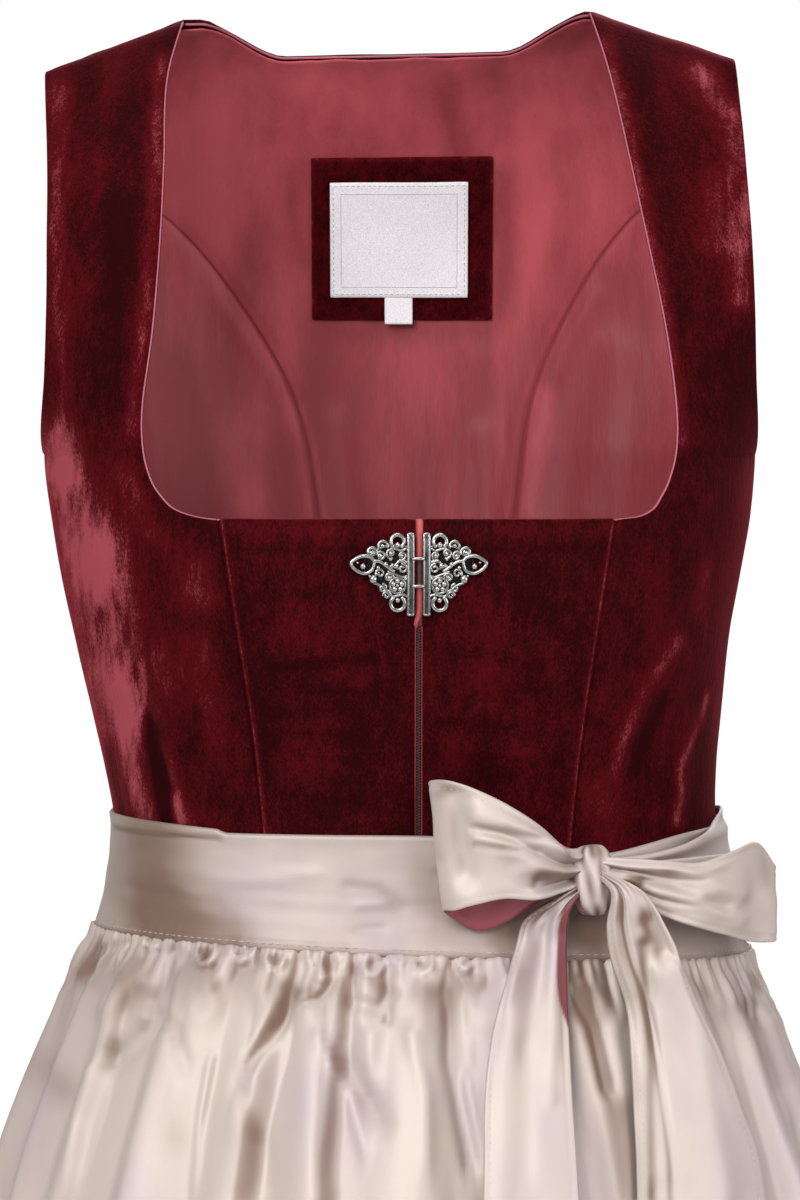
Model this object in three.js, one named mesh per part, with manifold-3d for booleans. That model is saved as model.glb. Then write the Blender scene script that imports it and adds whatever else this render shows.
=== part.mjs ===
// A knee-length dirndl, filled out as it is worn: velvet bodice with a hooked clasp over a front zip,
// gathered skirt, satin apron with a wide band, a tie round the back and a bow on the wearer's left.
// Millimetres, +Z up, the front faces -Y and the wearer's left is +X.
// The origin is between the shoulder seams, at their neck ends, where the wearer carries the dress.
import * as THREE from "three";
import { mergeVertices } from "three/addons/utils/BufferGeometryUtils.js";
import Module from "manifold-3d";

// Driving sizes
const cloth = 1.5; // velvet of the bodice
const faced_cloth = 2; // velvet and its lining in one wall, at the front
const lining_cloth = 1;
const skirt_cloth = 1.2;
const satin = 1.2;
const band_cloth = 2; // the apron band is doubled satin
const tie_cloth = 1.4;
const seam = 0.3; // gap between two pieces at a seam
const layer = 0.5; // gap between two pieces that lie on each other
const band_gap = 0.8; // between the bodice and the band and tie round it
const waist = -365;
const skirt_hem = -1015;
const apron_hem = -985;
const front_neck = -208;
const underarm = -183;
const zip_x = 11.3;
const zip_opening = 4; // between the two velvet edges
const zip_top = -251;
const roundness = 2.25; // power of the sections' superellipse
const shoulder_fall = 0.35; // drop of the shoulder seam for each millimetre outwards
const shoulder_tilt = 0.022; // the wearer's left shoulder sits a little higher
const shoulder_raise = 2;
const shoulder_start = -110; // below this height the shoulders' fall and tilt have died out
const neck_half = 86;
const armhole_reach = 95; // from the underarm up to where the strap has its full width
const armhole_turn = 34; // how far the armhole's edge turns from the side towards the front or back

// Two soft rounds at the bust, worked into the cut by the front seams
const bust = { centre: 11, apart: 60, height: -232, rise: 5, width: 40, reach: 44 };

// Upper edge of the back: level in the middle, then up to the shoulder seams
const back_neck = { height: -14, centre: 1, level_half: 46, rise_half: 82 };

// Sections of the form that the cloth follows, from the hem up to the shoulder ridge.
// right and left are the x of the cloth's outermost edge on the wearer's right and left.
const sections = [
  { height: -1015, centre: 11, right: -277, left: 299, front: -262, side: 0, back: 262 },
  { height: -850, centre: 11, right: -242, left: 264, front: -226, side: 0, back: 224 },
  { height: -720, centre: 11, right: -213, left: 235, front: -196, side: 0, back: 192 },
  { height: -620, centre: 11, right: -190, left: 212, front: -171, side: 0, back: 166 },
  { height: -540, centre: 11, right: -170, left: 192, front: -149, side: -1, back: 144 },
  { height: -480, centre: 11, right: -155, left: 177, front: -132, side: -2, back: 127 },
  { height: -442, centre: 11, right: -142, left: 163, front: -120, side: -2, back: 115 },
  { height: -415, centre: 11, right: -133, left: 155, front: -110, side: -3, back: 105 },
  { height: -395, centre: 11, right: -127, left: 149, front: -102, side: -3, back: 97 },
  { height: -378, centre: 11, right: -121, left: 143, front: -95, side: -3, back: 90 },
  { height: -362, centre: 11, right: -117, left: 138.5, front: -91.5, side: -3, back: 86 },
  { height: -340, centre: 11, right: -115.5, left: 136, front: -91.5, side: -3, back: 86 },
  { height: -316, centre: 11, right: -119.5, left: 136.5, front: -95.5, side: -3, back: 88 },
  { height: -290, centre: 11, right: -125.2, left: 138, front: -102, side: -3, back: 91.5 },
  { height: -262, centre: 11, right: -131.6, left: 141, front: -109, side: -2, back: 96 },
  { height: -235, centre: 11, right: -137.2, left: 145.8, front: -113, side: -1, back: 99.5 },
  { height: -208, centre: 11, right: -142.6, left: 150.8, front: -112, side: 0, back: 101.5 },
  { height: -180, centre: 9.5, right: -145.6, left: 152.6, front: -106, side: 2, back: 103 },
  { height: -150, centre: 8, right: -143.2, left: 151, front: -96.5, side: 6, back: 103 },
  { height: -120, centre: 6.5, right: -142.2, left: 150.3, front: -84, side: 10, back: 101 },
  { height: -90, centre: 5.2, right: -142.3, left: 149.3, front: -69.5, side: 14, back: 96 },
  { height: -62, centre: 3, right: -142.6, left: 148, front: -52, side: 17, back: 87 },
  { height: -38, centre: 1, right: -143.4, left: 147, front: -33, side: 20, back: 75.5 },
  { height: -20, centre: -1, right: -144.4, left: 146, front: -14, side: 22, back: 63 },
  { height: -8, centre: -2, right: -145.2, left: 145.4, front: 3, side: 23.5, back: 49 },
  { height: -2, centre: -2, right: -145.6, left: 145, front: 14, side: 24, back: 35.5 },
  { height: 0, centre: -2, right: -146, left: 145, front: 24.2, side: 24.5, back: 24.8 },
];
const top_row = sections.length - 1;

// Seams and the neck edge: x on the wearer's right and left at each height
const front_seam = [
  { height: -366, right: -50.8, left: 72.6 },
  { height: -300, right: -57, left: 79 },
  { height: -245, right: -65, left: 86.6 },
  { height: -208, right: -70.6, left: 92.2 },
];
const neck_edge = [
  { height: -208, right: -70.9, left: 92.5 },
  { height: -207, right: -79, left: 101 },
  { height: -204, right: -88, left: 107 },
  { height: -199, right: -93.5, left: 110.5 },
  { height: -192, right: -98, left: 114 },
  { height: -180, right: -101.3, left: 117 },
  { height: -162, right: -101.6, left: 117 },
  { height: -131, right: -97.6, left: 113 },
  { height: -95, right: -95, left: 106 },
  { height: -60, right: -94, left: 99 },
  { height: -25, right: -93.8, left: 91.5 },
  { height: 0, right: -88.2, left: 84.3 },
];
const back_seam = [
  { height: -366, right: -27, left: 49 },
  { height: -300, right: -28, left: 50 },
  { height: -250, right: -30, left: 51.5 },
  { height: -208, right: -32, left: 54 },
  { height: -158, right: -43.5, left: 61.5 },
  { height: -113, right: -70, left: 82 },
  { height: -80, right: -98.2, left: 105.8 },
  { height: -66, right: -121, left: 127 },
  { height: -56, right: -139, left: 144.5 },
];
const edge_inset = 1; // the lining stops this far inside the neck and armhole edges
const side_top = -56; // where the back side panels end in a point at the armhole

// Ridges of the apron, by their angle from the centre front at the hem. lean is the turn of the ridge
// between band and hem, and sharp is the part of the width that the steeper flank takes.
const apron_folds = [
  { angle: -99, width: 11, rise: 9, lean: -2, sharp: 0.5 },
  { angle: -86, width: 13, rise: 12, lean: -3, sharp: 0.4 },
  { angle: -71, width: 12, rise: 10, lean: -4, sharp: 0.5 },
  { angle: -59, width: 10, rise: 8, lean: -4, sharp: 0.6 },
  { angle: -45, width: 17, rise: 13, lean: -6, sharp: 0.3 },
  { angle: -28, width: 12, rise: 10, lean: -6, sharp: 0.7 },
  { angle: -15, width: 11, rise: 12, lean: -4, sharp: 0.72 },
  { angle: -1, width: 13, rise: 12, lean: -1, sharp: 0.65 },
  { angle: 13, width: 12, rise: 10, lean: 1, sharp: 0.35 },
  { angle: 28, width: 13, rise: 12, lean: 3, sharp: 0.35 },
  { angle: 41, width: 10, rise: 8, lean: 4, sharp: 0.5 },
  { angle: 53, width: 12, rise: 12, lean: 5, sharp: 0.4 },
  { angle: 65, width: 11, rise: 10, lean: 4, sharp: 0.4 },
  { angle: 78, width: 12, rise: 11, lean: 3, sharp: 0.5 },
  { angle: 90, width: 11, rise: 9, lean: 2, sharp: 0.6 },
  { angle: 101, width: 9, rise: 8, lean: 1, sharp: 0.5 },
];
const apron_half_angle = 104;
const apron_length = 600;
const pucker_count = 46;
const pucker_depth = 1.3;
const pucker_reach = 38; // they die out this far below the band
// The ridges rise in three steps below the band: share of their full rise, from and to
const ridge_steps = [
  { share: 0.15, from: 0, to: 12 },
  { share: 0.45, from: 5, to: 70 },
  { share: 0.4, from: 60, to: 260 },
];

const skirt_fold_count = 20;
// How deep the skirt's folds are at each height
const skirt_folds = [
  { height: -1015, depth: 27 },
  { height: -800, depth: 22 },
  { height: -600, depth: 15 },
  { height: -480, depth: 8 },
  { height: -410, depth: 3.5 },
  { height: -364, depth: 1 },
];

// Apron band and tie
const band_top = -337;
const band_bottom = -385.5;
const band_slant = 5.5; // it hangs this much lower at the wearer's left side and higher at the right
const band_half_angle = 101;
const band_columns = 40;
const tie_columns = 46;
const tie_end = 36; // angle at which the tie reaches the knot
const tie_narrow_from = 95; // from here to the knot it narrows
const tie_over_band = { from: 104, to: 116 }; // between these angles it climbs onto the band
const tie_at_knot = { low: -367, high: -346, lift: 2 };
const tie_above_band = 3;
const tie_inset = 2; // its lower edge is this far above the band's

const velvet_look = new THREE.MeshStandardMaterial({ color: 0x4d0a12, roughness: 0.85, metalness: 0 });
const lining_look = new THREE.MeshStandardMaterial({ color: 0x9a454b, roughness: 0.55, metalness: 0 });
const satin_look = new THREE.MeshStandardMaterial({ color: 0xd5c6bd, roughness: 0.4, metalness: 0 });
const label_look = new THREE.MeshStandardMaterial({ color: 0xf0ebee, roughness: 0.6, metalness: 0 });
const guard_look = new THREE.MeshStandardMaterial({ color: 0xb8343a, roughness: 0.6, metalness: 0 });
const zip_look = new THREE.MeshStandardMaterial({ color: 0x1c1012, roughness: 0.5, metalness: 0.3 });
const silver_look = new THREE.MeshStandardMaterial({ color: 0x8d8b86, roughness: 0.35, metalness: 1 });

const wasm = await Module();
wasm.setup();

// Small mathematics
function clamp(value, low, high) {
  return Math.min(Math.max(value, low), high);
}

function mix(a, b, t) {
  return a + (b - a) * t;
}

function smooth(from, to, value) {
  const t = clamp((value - from) / (to - from), 0, 1);
  return t * t * (3 - 2 * t);
}

function radians(degrees) {
  return (degrees * Math.PI) / 180;
}

function signed_power(value, power) {
  return Math.sign(value) * Math.abs(value) ** power;
}

function levels(from, to, count) {
  return Array.from({ length: count + 1 }, (_, i) => mix(from, to, i / count));
}

// A column of a table at row t, on a smooth curve through its rows
function column(rows, name, t) {
  const last = rows.length - 1;
  const at = clamp(t, 0, last);
  const i = Math.min(Math.floor(at), last - 1);
  const f = at - i;
  const b = rows[i][name];
  const c = rows[i + 1][name];
  const a = i > 0 ? rows[i - 1][name] : 2 * b - c;
  const d = i + 2 <= last ? rows[i + 2][name] : 2 * c - b;
  return b + 0.5 * f * (c - a + f * (2 * a - 5 * b + 4 * c - d + f * (3 * (b - c) + d - a)));
}

// The row of a table at which its height column has a given value
function row_at(rows, height) {
  let low = 0;
  let high = rows.length - 1;
  for (let step = 0; step < 40; step++) {
    const middle = (low + high) / 2;
    if (column(rows, "height", middle) < height) low = middle;
    else high = middle;
  }
  return (low + high) / 2;
}

function at_height(rows, name, height) {
  return column(rows, name, row_at(rows, height));
}

// The form under the cloth. angle is 0 at the centre front and grows towards the wearer's left.
function arm_angle(height) {
  const s = clamp((height - underarm) / armhole_reach, 0, 1);
  return 90 - armhole_turn * Math.sqrt(s * (2 - s));
}

function half_width(t, side) {
  const height = column(sections, "height", t);
  const edge = Math.abs(column(sections, side, t) - column(sections, "centre", t));
  return edge / Math.sin(radians(arm_angle(height))) ** (2 / roundness);
}

function bust_rise(x, height) {
  const across = (Math.abs(x - bust.centre) - bust.apart) / bust.width;
  const up = (height - bust.height) / bust.reach;
  return bust.rise * Math.exp(-across * across - up * up);
}

function form(angle, t) {
  const sine = Math.sin(radians(angle));
  const cosine = Math.cos(radians(angle));
  const height = column(sections, "height", t);
  const centre = column(sections, "centre", t);
  const side = column(sections, "side", t);
  const x = centre + half_width(t, sine < 0 ? "right" : "left") * signed_power(sine, 2 / roundness);
  const end = column(sections, cosine > 0 ? "front" : "back", t);
  let y = side + (end - side) * Math.abs(cosine) ** (2 / roundness);
  if (cosine > 0) y -= bust_rise(x, height) * cosine;
  const ridge = smooth(shoulder_start, 0, height);
  const fall = shoulder_fall * Math.max(0, Math.abs(x - centre) - neck_half) * ridge;
  const z = height - fall + (shoulder_tilt * x + shoulder_raise) * ridge;
  return new THREE.Vector3(x, y, z);
}

function form_normal(angle, t) {
  const turn = 0.4;
  const step = 0.03;
  const across = form(angle + turn, t).sub(form(angle - turn, t));
  const up = form(angle, Math.min(t + step, top_row)).sub(form(angle, Math.max(t - step, 0)));
  up.z *= 1 - smooth(top_row - 1, top_row, t);
  return across.cross(up).normalize();
}

// A point above the form (lift over 0) or inside it
function place(angle, t, lift) {
  return form(angle, t).addScaledVector(form_normal(angle, t), lift);
}

function front_angle(x, t) {
  const away = x - column(sections, "centre", t);
  const share = Math.abs(away) / half_width(t, away < 0 ? "right" : "left");
  return Math.sign(away) * (180 / Math.PI) * Math.asin(Math.min(share, 1) ** (roundness / 2));
}

function back_angle(x, t) {
  return 180 - front_angle(x, t);
}

function on_front(x, height, lift) {
  const t = row_at(sections, height);
  return place(front_angle(x, t), t, lift);
}

function on_back(x, height, lift) {
  const t = row_at(sections, height);
  return place(back_angle(x, t), t, lift);
}

// Building one closed wall from rows of points. Each point has an outer and an inner place and its
// share s of the way across, so that rows with different counts can be joined.
function wall_geometry(rows) {
  const positions = [];
  const starts = [];
  const index = [];
  for (const row of rows) {
    starts.push(positions.length / 3);
    for (const point of row) positions.push(...point.outer.toArray(), ...point.inner.toArray());
  }
  const outer = (j, i) => starts[j] + 2 * i;
  const inner = (j, i) => starts[j] + 2 * i + 1;
  const both_sides = (ja, ia, jb, ib, jc, ic) => {
    index.push(outer(ja, ia), outer(jb, ib), outer(jc, ic));
    index.push(inner(ja, ia), inner(jc, ic), inner(jb, ib));
  };
  const rim = (ja, ia, jb, ib) => {
    index.push(outer(ja, ia), outer(jb, ib), inner(jb, ib));
    index.push(outer(ja, ia), inner(jb, ib), inner(ja, ia));
  };
  for (let j = 0; j + 1 < rows.length; j++) {
    const low = rows[j].length - 1;
    const high = rows[j + 1].length - 1;
    let a = 0;
    let b = 0;
    while (a < low || b < high) {
      const next_low = a < low ? rows[j][a + 1].s : Infinity;
      const next_high = b < high ? rows[j + 1][b + 1].s : Infinity;
      if (next_low <= next_high) {
        both_sides(j, a, j, a + 1, j + 1, b);
        a++;
      } else {
        both_sides(j, a, j + 1, b + 1, j + 1, b);
        b++;
      }
    }
    rim(j, 0, j + 1, 0);
    rim(j + 1, high, j, low);
  }
  const top = rows.length - 1;
  for (let i = 0; i + 1 < rows[0].length; i++) rim(0, i + 1, 0, i);
  for (let i = 0; i + 1 < rows[top].length; i++) rim(top, i, top, i + 1);
  const geometry = new THREE.BufferGeometry();
  geometry.setAttribute("position", new THREE.Float32BufferAttribute(positions, 3));
  geometry.setIndex(index);
  return facing_out(geometry);
}

function facing_out(geometry) {
  const p = geometry.getAttribute("position");
  const index = geometry.index.array;
  let volume = 0;
  for (let i = 0; i < index.length; i += 3) {
    const [a, b, c] = [0, 1, 2].map((k) => new THREE.Vector3().fromBufferAttribute(p, index[i + k]));
    volume += a.dot(b.cross(c));
  }
  if (volume < 0) {
    for (let i = 0; i < index.length; i += 3) [index[i], index[i + 1]] = [index[i + 1], index[i]];
  }
  geometry.computeVertexNormals();
  return geometry;
}

function mesh(name, geometry, look) {
  const made = new THREE.Mesh(geometry, look);
  made.name = name;
  return made;
}

function to_solid(geometry) {
  const bare = geometry.index ? geometry.clone() : mergeVertices(geometry.clone());
  bare.deleteAttribute("normal");
  bare.deleteAttribute("uv");
  const merged = mergeVertices(bare, 1e-4);
  return new wasm.Manifold(
    new wasm.Mesh({
      numProp: 3,
      vertProperties: merged.getAttribute("position").array,
      triVerts: new Uint32Array(merged.index.array),
    }),
  );
}

function from_solid(solid) {
  const data = solid.getMesh();
  const geometry = new THREE.BufferGeometry();
  geometry.setAttribute("position", new THREE.BufferAttribute(data.vertProperties, 3));
  geometry.setIndex(new THREE.BufferAttribute(data.triVerts, 1));
  geometry.computeVertexNormals();
  return geometry;
}

// A panel of cloth: heights are its rows, edges(t) gives its two edges as angles, and the wall lies
// between two lifts above the form
function panel({ name, look, heights, columns, edges, outside, inside }) {
  const rows = heights.map((height) => {
    const t = row_at(sections, height);
    const [from, to] = edges(height, t);
    return Array.from({ length: columns + 1 }, (_, i) => {
      const s = i / columns;
      const angle = mix(from, to, s);
      return { s, outer: place(angle, t, outside), inner: place(angle, t, inside) };
    });
  });
  return mesh(name, wall_geometry(rows), look);
}

// Edges of the panels as angles. side is "right" or "left".
function seam_angle(rows, height, t, side, half, shift) {
  const x = at_height(rows, side, height) + shift;
  return half === "front" ? front_angle(x, t) : back_angle(x, t);
}

function gap_angle(t, millimetres) {
  return (180 / Math.PI) * (millimetres / half_width(t, "left"));
}

// Bodice
const lower_levels = [waist + seam / 2, -352, -338, -320, -298, -274, zip_top, -230, front_neck];
const corner_levels = [-207, -204, -199, -192, -183, -176, -164, -148, -128, -108];
const strap_levels = [-88, -69, -52, -37, -24, -14, -7, -2.6, -0.7, 0];

function front_centre(name, side) {
  const out = side === "right" ? -1 : 1;
  return panel({
    name,
    look: velvet_look,
    heights: lower_levels,
    columns: 4,
    edges: (height, t) => [
      front_angle(zip_x + (out * zip_opening) / 2, t),
      seam_angle(front_seam, height, t, side, "front", (-out * seam) / 2),
    ],
    outside: 0,
    inside: -faced_cloth,
  });
}

function front_side(name, side) {
  const out = side === "right" ? -1 : 1;
  return panel({
    name,
    look: velvet_look,
    heights: [...lower_levels, ...corner_levels, ...strap_levels],
    columns: 5,
    edges: (height, t) => {
      const table = height <= front_neck ? front_seam : neck_edge;
      const inner = seam_angle(table, height, t, side, "front", (out * seam) / 2);
      return [inner, out * (arm_angle(height) - gap_angle(t, seam / 2))];
    },
    outside: 0,
    inside: -faced_cloth,
  });
}

const armhole_levels = [-180, -172, -158, -140, -122, -106, -92, -79, -67, side_top];
const side_levels = [...lower_levels, underarm, ...armhole_levels];

function back_arm(height, out, inset) {
  const beta = arm_angle(height) - (height > underarm ? 1 : 0) - inset;
  return 180 - out * beta;
}

function back_side(name, side, look, outside, inside, inset) {
  const out = side === "right" ? -1 : 1;
  return panel({
    name,
    look,
    heights: side_levels,
    columns: 4,
    edges: (height, t) => [
      back_arm(height, out, gap_angle(t, seam / 2 + inset)),
      seam_angle(back_seam, height, t, side, "back", (out * seam) / 2),
    ],
    outside,
    inside,
  });
}

function back_neck_at(x) {
  const away = Math.abs(x - back_neck.centre);
  return back_neck.height * (1 - smooth(back_neck.level_half, back_neck.rise_half, away));
}

function back_centre(name, look, outside, inside, inset) {
  const columns = 10;
  const rows_above = 6;
  const tiny = 0.01;
  const edge = (height, t, side) => {
    const out = side === "right" ? -1 : 1;
    if (height > side_top + tiny) return back_arm(height, out, gap_angle(t, seam / 2 + inset));
    return seam_angle(back_seam, height, t, side, "back", (-out * seam) / 2);
  };
  const point = (s, t) => {
    const height = column(sections, "height", t);
    const angle = mix(edge(height, t, "left"), edge(height, t, "right"), s);
    return { s, outer: place(angle, t, outside), inner: place(angle, t, inside), x: form(angle, t).x };
  };
  const across = levels(0, 1, columns);
  const rows = side_levels.map((height) => across.map((s) => point(s, row_at(sections, height))));
  const start = row_at(sections, side_top);
  for (let j = 1; j <= rows_above; j++) {
    const row = across.map((s) => {
      let t = start;
      for (let round = 0; round < 6; round++) {
        const top = row_at(sections, back_neck_at(point(s, t).x));
        t = mix(start, top, j / rows_above);
      }
      return point(s, t);
    });
    rows.push(row);
  }
  return mesh(name, wall_geometry(rows), look);
}

// A patch that lies on the form: x and height of its corners, and the lifts between which it lies
function patch({ name, look, on, left, right, heights, outside, inside, columns }) {
  const rows = heights.map((height) =>
    levels(left, right, columns).map((x, i) => ({
      s: i / columns,
      outer: on(x, height, outside),
      inner: on(x, height, inside),
    })),
  );
  return mesh(name, wall_geometry(rows), look);
}

// Lining inside the back, and the patch, label and tag sewn on it
const lining_outside = -(cloth + layer);
const lining_inside = lining_outside - lining_cloth;
const patch_outside = lining_inside - layer;
const patch_inside = patch_outside - lining_cloth;
const label_outside = patch_inside - layer;
const label_inside = label_outside - lining_cloth;
const label_bottom = -114.8;

function labels() {
  const shared = { on: on_back, columns: 6 };
  return [
    patch({
      ...shared,
      name: "label_patch",
      look: velvet_look,
      left: -34.4,
      right: 43.7,
      heights: levels(-124.8, -55.3, 4),
      outside: patch_outside,
      inside: patch_inside,
    }),
    patch({
      ...shared,
      name: "label",
      look: label_look,
      left: -26.6,
      right: 33.3,
      heights: levels(label_bottom, -64.9, 4),
      outside: label_outside,
      inside: label_inside,
    }),
    patch({
      ...shared,
      name: "size_tag",
      look: label_look,
      left: -2.7,
      right: 9,
      heights: levels(-126.6, label_bottom - seam, 2),
      outside: label_outside,
      inside: label_inside,
      columns: 2,
    }),
  ];
}

// Zip with its guard behind it, and the slider at its closed top
const zip_outside = -(faced_cloth + layer);
const zip_inside = zip_outside - lining_cloth;
const guard_outside = zip_inside - layer;
const guard_inside = guard_outside - lining_cloth;

const zip_half = 13;
const guard_half = 16;
const slider_half = 1.6;
const slider_length = 8;
const slider_depth = 1.4;

function zip() {
  const shared = { columns: 2, on: on_front };
  const below_top = lower_levels.filter((height) => height < zip_top);
  const slider = new THREE.Shape();
  slider.moveTo(-slider_half, 0);
  slider.lineTo(slider_half, 0);
  slider.lineTo(slider_half, slider_length - slider_half);
  slider.absarc(0, slider_length - slider_half, slider_half, 0, Math.PI, false);
  const slider_body = new THREE.ExtrudeGeometry(slider, {
    depth: slider_depth,
    bevelEnabled: false,
    curveSegments: 5,
  });
  return [
    patch({
      ...shared,
      name: "zip",
      look: zip_look,
      left: zip_x - zip_half,
      right: zip_x + zip_half,
      heights: [...below_top, zip_top],
      outside: zip_outside,
      inside: zip_inside,
    }),
    patch({
      ...shared,
      name: "zip_guard",
      look: guard_look,
      left: zip_x - guard_half,
      right: zip_x + guard_half,
      heights: [...below_top, zip_top, -230, front_neck - 1],
      outside: guard_outside,
      inside: guard_inside,
    }),
    mesh("zip_slider", onto_front(slider_body, zip_x, zip_top + 0.5, zip_outside + seam), zip_look),
  ];
}

// Bends a flat piece, drawn in x and y with its depth in z, onto the front of the bodice
function onto_front(geometry, x, height, lift) {
  const bare = geometry.clone();
  bare.deleteAttribute("normal");
  bare.deleteAttribute("uv");
  const bent = mergeVertices(bare, 1e-4);
  const p = bent.getAttribute("position");
  for (let i = 0; i < p.count; i++) {
    const point = on_front(x + p.getX(i), height + p.getY(i), lift + p.getZ(i));
    p.setXYZ(i, point.x, point.y, point.z);
  }
  return facing_out(bent);
}

// Clasp: two openwork halves. Places are millimetres from the zip line and from the clasp's middle.
const clasp_height = -229.5;
const clasp_depth = 1.8;
const bar_inner = 1;
const bar_outer = 4.2;
const bar_half = 16;
const clasp_rings = [
  { away: 7.3, up: 12.8, outer: 3.5, hole: 1.6 },
  { away: 7.3, up: -11, outer: 3.7, hole: 1.7 },
];
const clasp_scrolls = [
  { away: 13, up: 11.2, radius: 2.3 },
  { away: 17.6, up: 8.4, radius: 2.2 },
  { away: 17.4, up: -2.6, radius: 2.3 },
  { away: 13, up: -7, radius: 2.5 },
];
const teardrop = { away: 21, up: 3.4, length: 9.6, width: 7 };
const hooks = [6.2, -4.6]; // places of the two hook wires
const hook_wire = 1.2;
const clasp_lift = 0.8; // the flat halves clear the rounded front

function flat(shape, depth, segments) {
  return to_solid(new THREE.ExtrudeGeometry(shape, { depth, bevelEnabled: false, curveSegments: segments }));
}

function disc(x, y, outer, hole) {
  const shape = new THREE.Shape();
  shape.absarc(x, y, outer, 0, 2 * Math.PI, false);
  if (hole > 0) {
    const inside = new THREE.Path();
    inside.absarc(x, y, hole, 0, 2 * Math.PI, true);
    shape.holes.push(inside);
  }
  return flat(shape, clasp_depth, 5);
}

// Each half is drawn on the wearer's left and mirrored for the right, which alone has the hook wires
function clasp(name, out, with_hooks) {
  const bar = new THREE.Shape();
  bar.moveTo(bar_inner, -bar_half);
  bar.lineTo(bar_outer, -bar_half);
  bar.lineTo(bar_outer, bar_half);
  bar.lineTo(bar_inner, bar_half);
  const web = new THREE.Shape();
  web.moveTo(bar_outer - 1, -9.5);
  web.quadraticCurveTo(9, -7.5, 13, -7);
  web.lineTo(17.4, -2.6);
  web.lineTo(18.5, teardrop.up);
  web.lineTo(17.6, 8.4);
  web.lineTo(13, 11);
  web.quadraticCurveTo(9, 9, bar_outer - 1, 11.5);
  const opening = new THREE.Path();
  opening.moveTo(7, 6.6);
  opening.lineTo(13, 6.4);
  opening.lineTo(14.2, 2.8);
  opening.lineTo(12, -2.6);
  opening.lineTo(7, -4.4);
  web.holes.push(opening);
  const tip = teardrop.away + teardrop.length / 2;
  const root = teardrop.away - teardrop.length / 2;
  const drop = new THREE.Shape();
  drop.moveTo(tip, teardrop.up);
  drop.quadraticCurveTo(teardrop.away, teardrop.up + teardrop.width, root, teardrop.up);
  drop.quadraticCurveTo(teardrop.away, teardrop.up - teardrop.width, tip, teardrop.up);
  let solid = flat(bar, clasp_depth, 1);
  solid = solid.add(flat(web, clasp_depth * 0.6, 4));
  solid = solid.add(flat(drop, clasp_depth, 5));
  for (const ring of clasp_rings) solid = solid.add(disc(ring.away, ring.up, ring.outer, ring.hole));
  for (const scroll of clasp_scrolls) solid = solid.add(disc(scroll.away, scroll.up, scroll.radius, 0));
  for (const up of with_hooks ? hooks : []) {
    const wire = new THREE.Shape();
    wire.moveTo(seam - bar_inner, up - hook_wire / 2);
    wire.lineTo(bar_outer, up - hook_wire / 2);
    wire.lineTo(bar_outer, up + hook_wire / 2);
    wire.lineTo(seam - bar_inner, up + hook_wire / 2);
    solid = solid.add(flat(wire, hook_wire, 1));
  }
  const half = from_solid(solid);
  half.scale(out, 1, 1);
  return mesh(name, onto_front(half, zip_x, clasp_height, clasp_lift), silver_look);
}

// Skirt: four gathered panels
function skirt_fold(angle, height) {
  const wave = 0.5 - 0.5 * Math.cos(radians(angle * skirt_fold_count));
  return at_height(skirt_folds, "depth", height) * wave;
}

const skirt_levels = [skirt_hem, -930, -830, -720, -620, -530, -455, -410, -385, waist - seam / 2];
const skirt_columns = 20; // in each panel

function skirt_panel(name, from) {
  const to = from + 90;
  const rows = skirt_levels.map((height) => {
    const t = row_at(sections, height);
    const gap = gap_angle(t, seam / 2);
    return levels(from + gap, to - gap, skirt_columns).map((angle, i) => {
      const lift = -layer - skirt_fold(angle, height);
      return { s: i / skirt_columns, outer: place(angle, t, lift), inner: place(angle, t, lift - skirt_cloth) };
    });
  });
  return mesh(name, wall_geometry(rows), velvet_look);
}

// Apron
function band_edge(angle) {
  return band_bottom - band_slant * Math.sin(radians(angle));
}

function ridge(from_top) {
  return ridge_steps.reduce((sum, { share, from, to }) => sum + share * smooth(from, to, from_top), 0);
}

function apron_fold(angle, from_top) {
  const share = clamp(from_top / apron_length, 0, 1);
  let lift = 0;
  for (const fold of apron_folds) {
    const away = angle - fold.angle + fold.lean * (1 - share);
    const flank = away > 0 ? fold.width * (1 - fold.sharp) : fold.width * fold.sharp;
    const reach = clamp(Math.abs(away) / flank, 0, 1);
    lift = Math.max(lift, fold.rise * ridge(from_top) * (0.5 + 0.5 * Math.cos(Math.PI * reach)));
  }
  return lift;
}

function pucker(angle, from_top) {
  const turn = ((angle + apron_half_angle) / (2 * apron_half_angle)) * pucker_count;
  const wave = 0.5 - 0.5 * Math.cos(2 * Math.PI * turn);
  return pucker_depth * wave * (1 - smooth(0, pucker_reach, from_top));
}

function apron_panel() {
  const fine = pucker_count * 2;
  const coarse = 76;
  const rows_down = [
    { below: 0, columns: fine },
    { below: 6, columns: fine },
    { below: 18, columns: fine },
    { below: 38, columns: coarse },
    { below: 62, columns: coarse },
    { below: 95, columns: coarse },
    { below: 145, columns: coarse },
    { below: 215, columns: coarse },
    { below: 310, columns: coarse },
    { below: 440, columns: coarse },
    { below: apron_length, columns: coarse },
  ];
  const rows = rows_down.reverse().map(({ below, columns }) =>
    levels(-apron_half_angle, apron_half_angle, columns).map((angle, i) => {
      const top = band_edge(angle) - seam;
      const height = mix(top, apron_hem, below / apron_length);
      const t = row_at(sections, height);
      const inner = layer + apron_fold(angle, top - height);
      const outer = inner + satin + pucker(angle, top - height);
      return { s: i / columns, outer: place(angle, t, outer), inner: place(angle, t, inner) };
    }),
  );
  return mesh("apron_panel", wall_geometry(rows), satin_look);
}

function apron_band() {
  const rows = levels(0, 1, 4).map((v) =>
    levels(-band_half_angle, band_half_angle, band_columns).map((angle, i) => {
      const height = mix(band_edge(angle), band_top, v);
      const t = row_at(sections, height);
      const outer = place(angle, t, band_gap + band_cloth);
      return { s: i / band_columns, outer, inner: place(angle, t, band_gap) };
    }),
  );
  return mesh("apron_band", wall_geometry(rows), satin_look);
}

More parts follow.
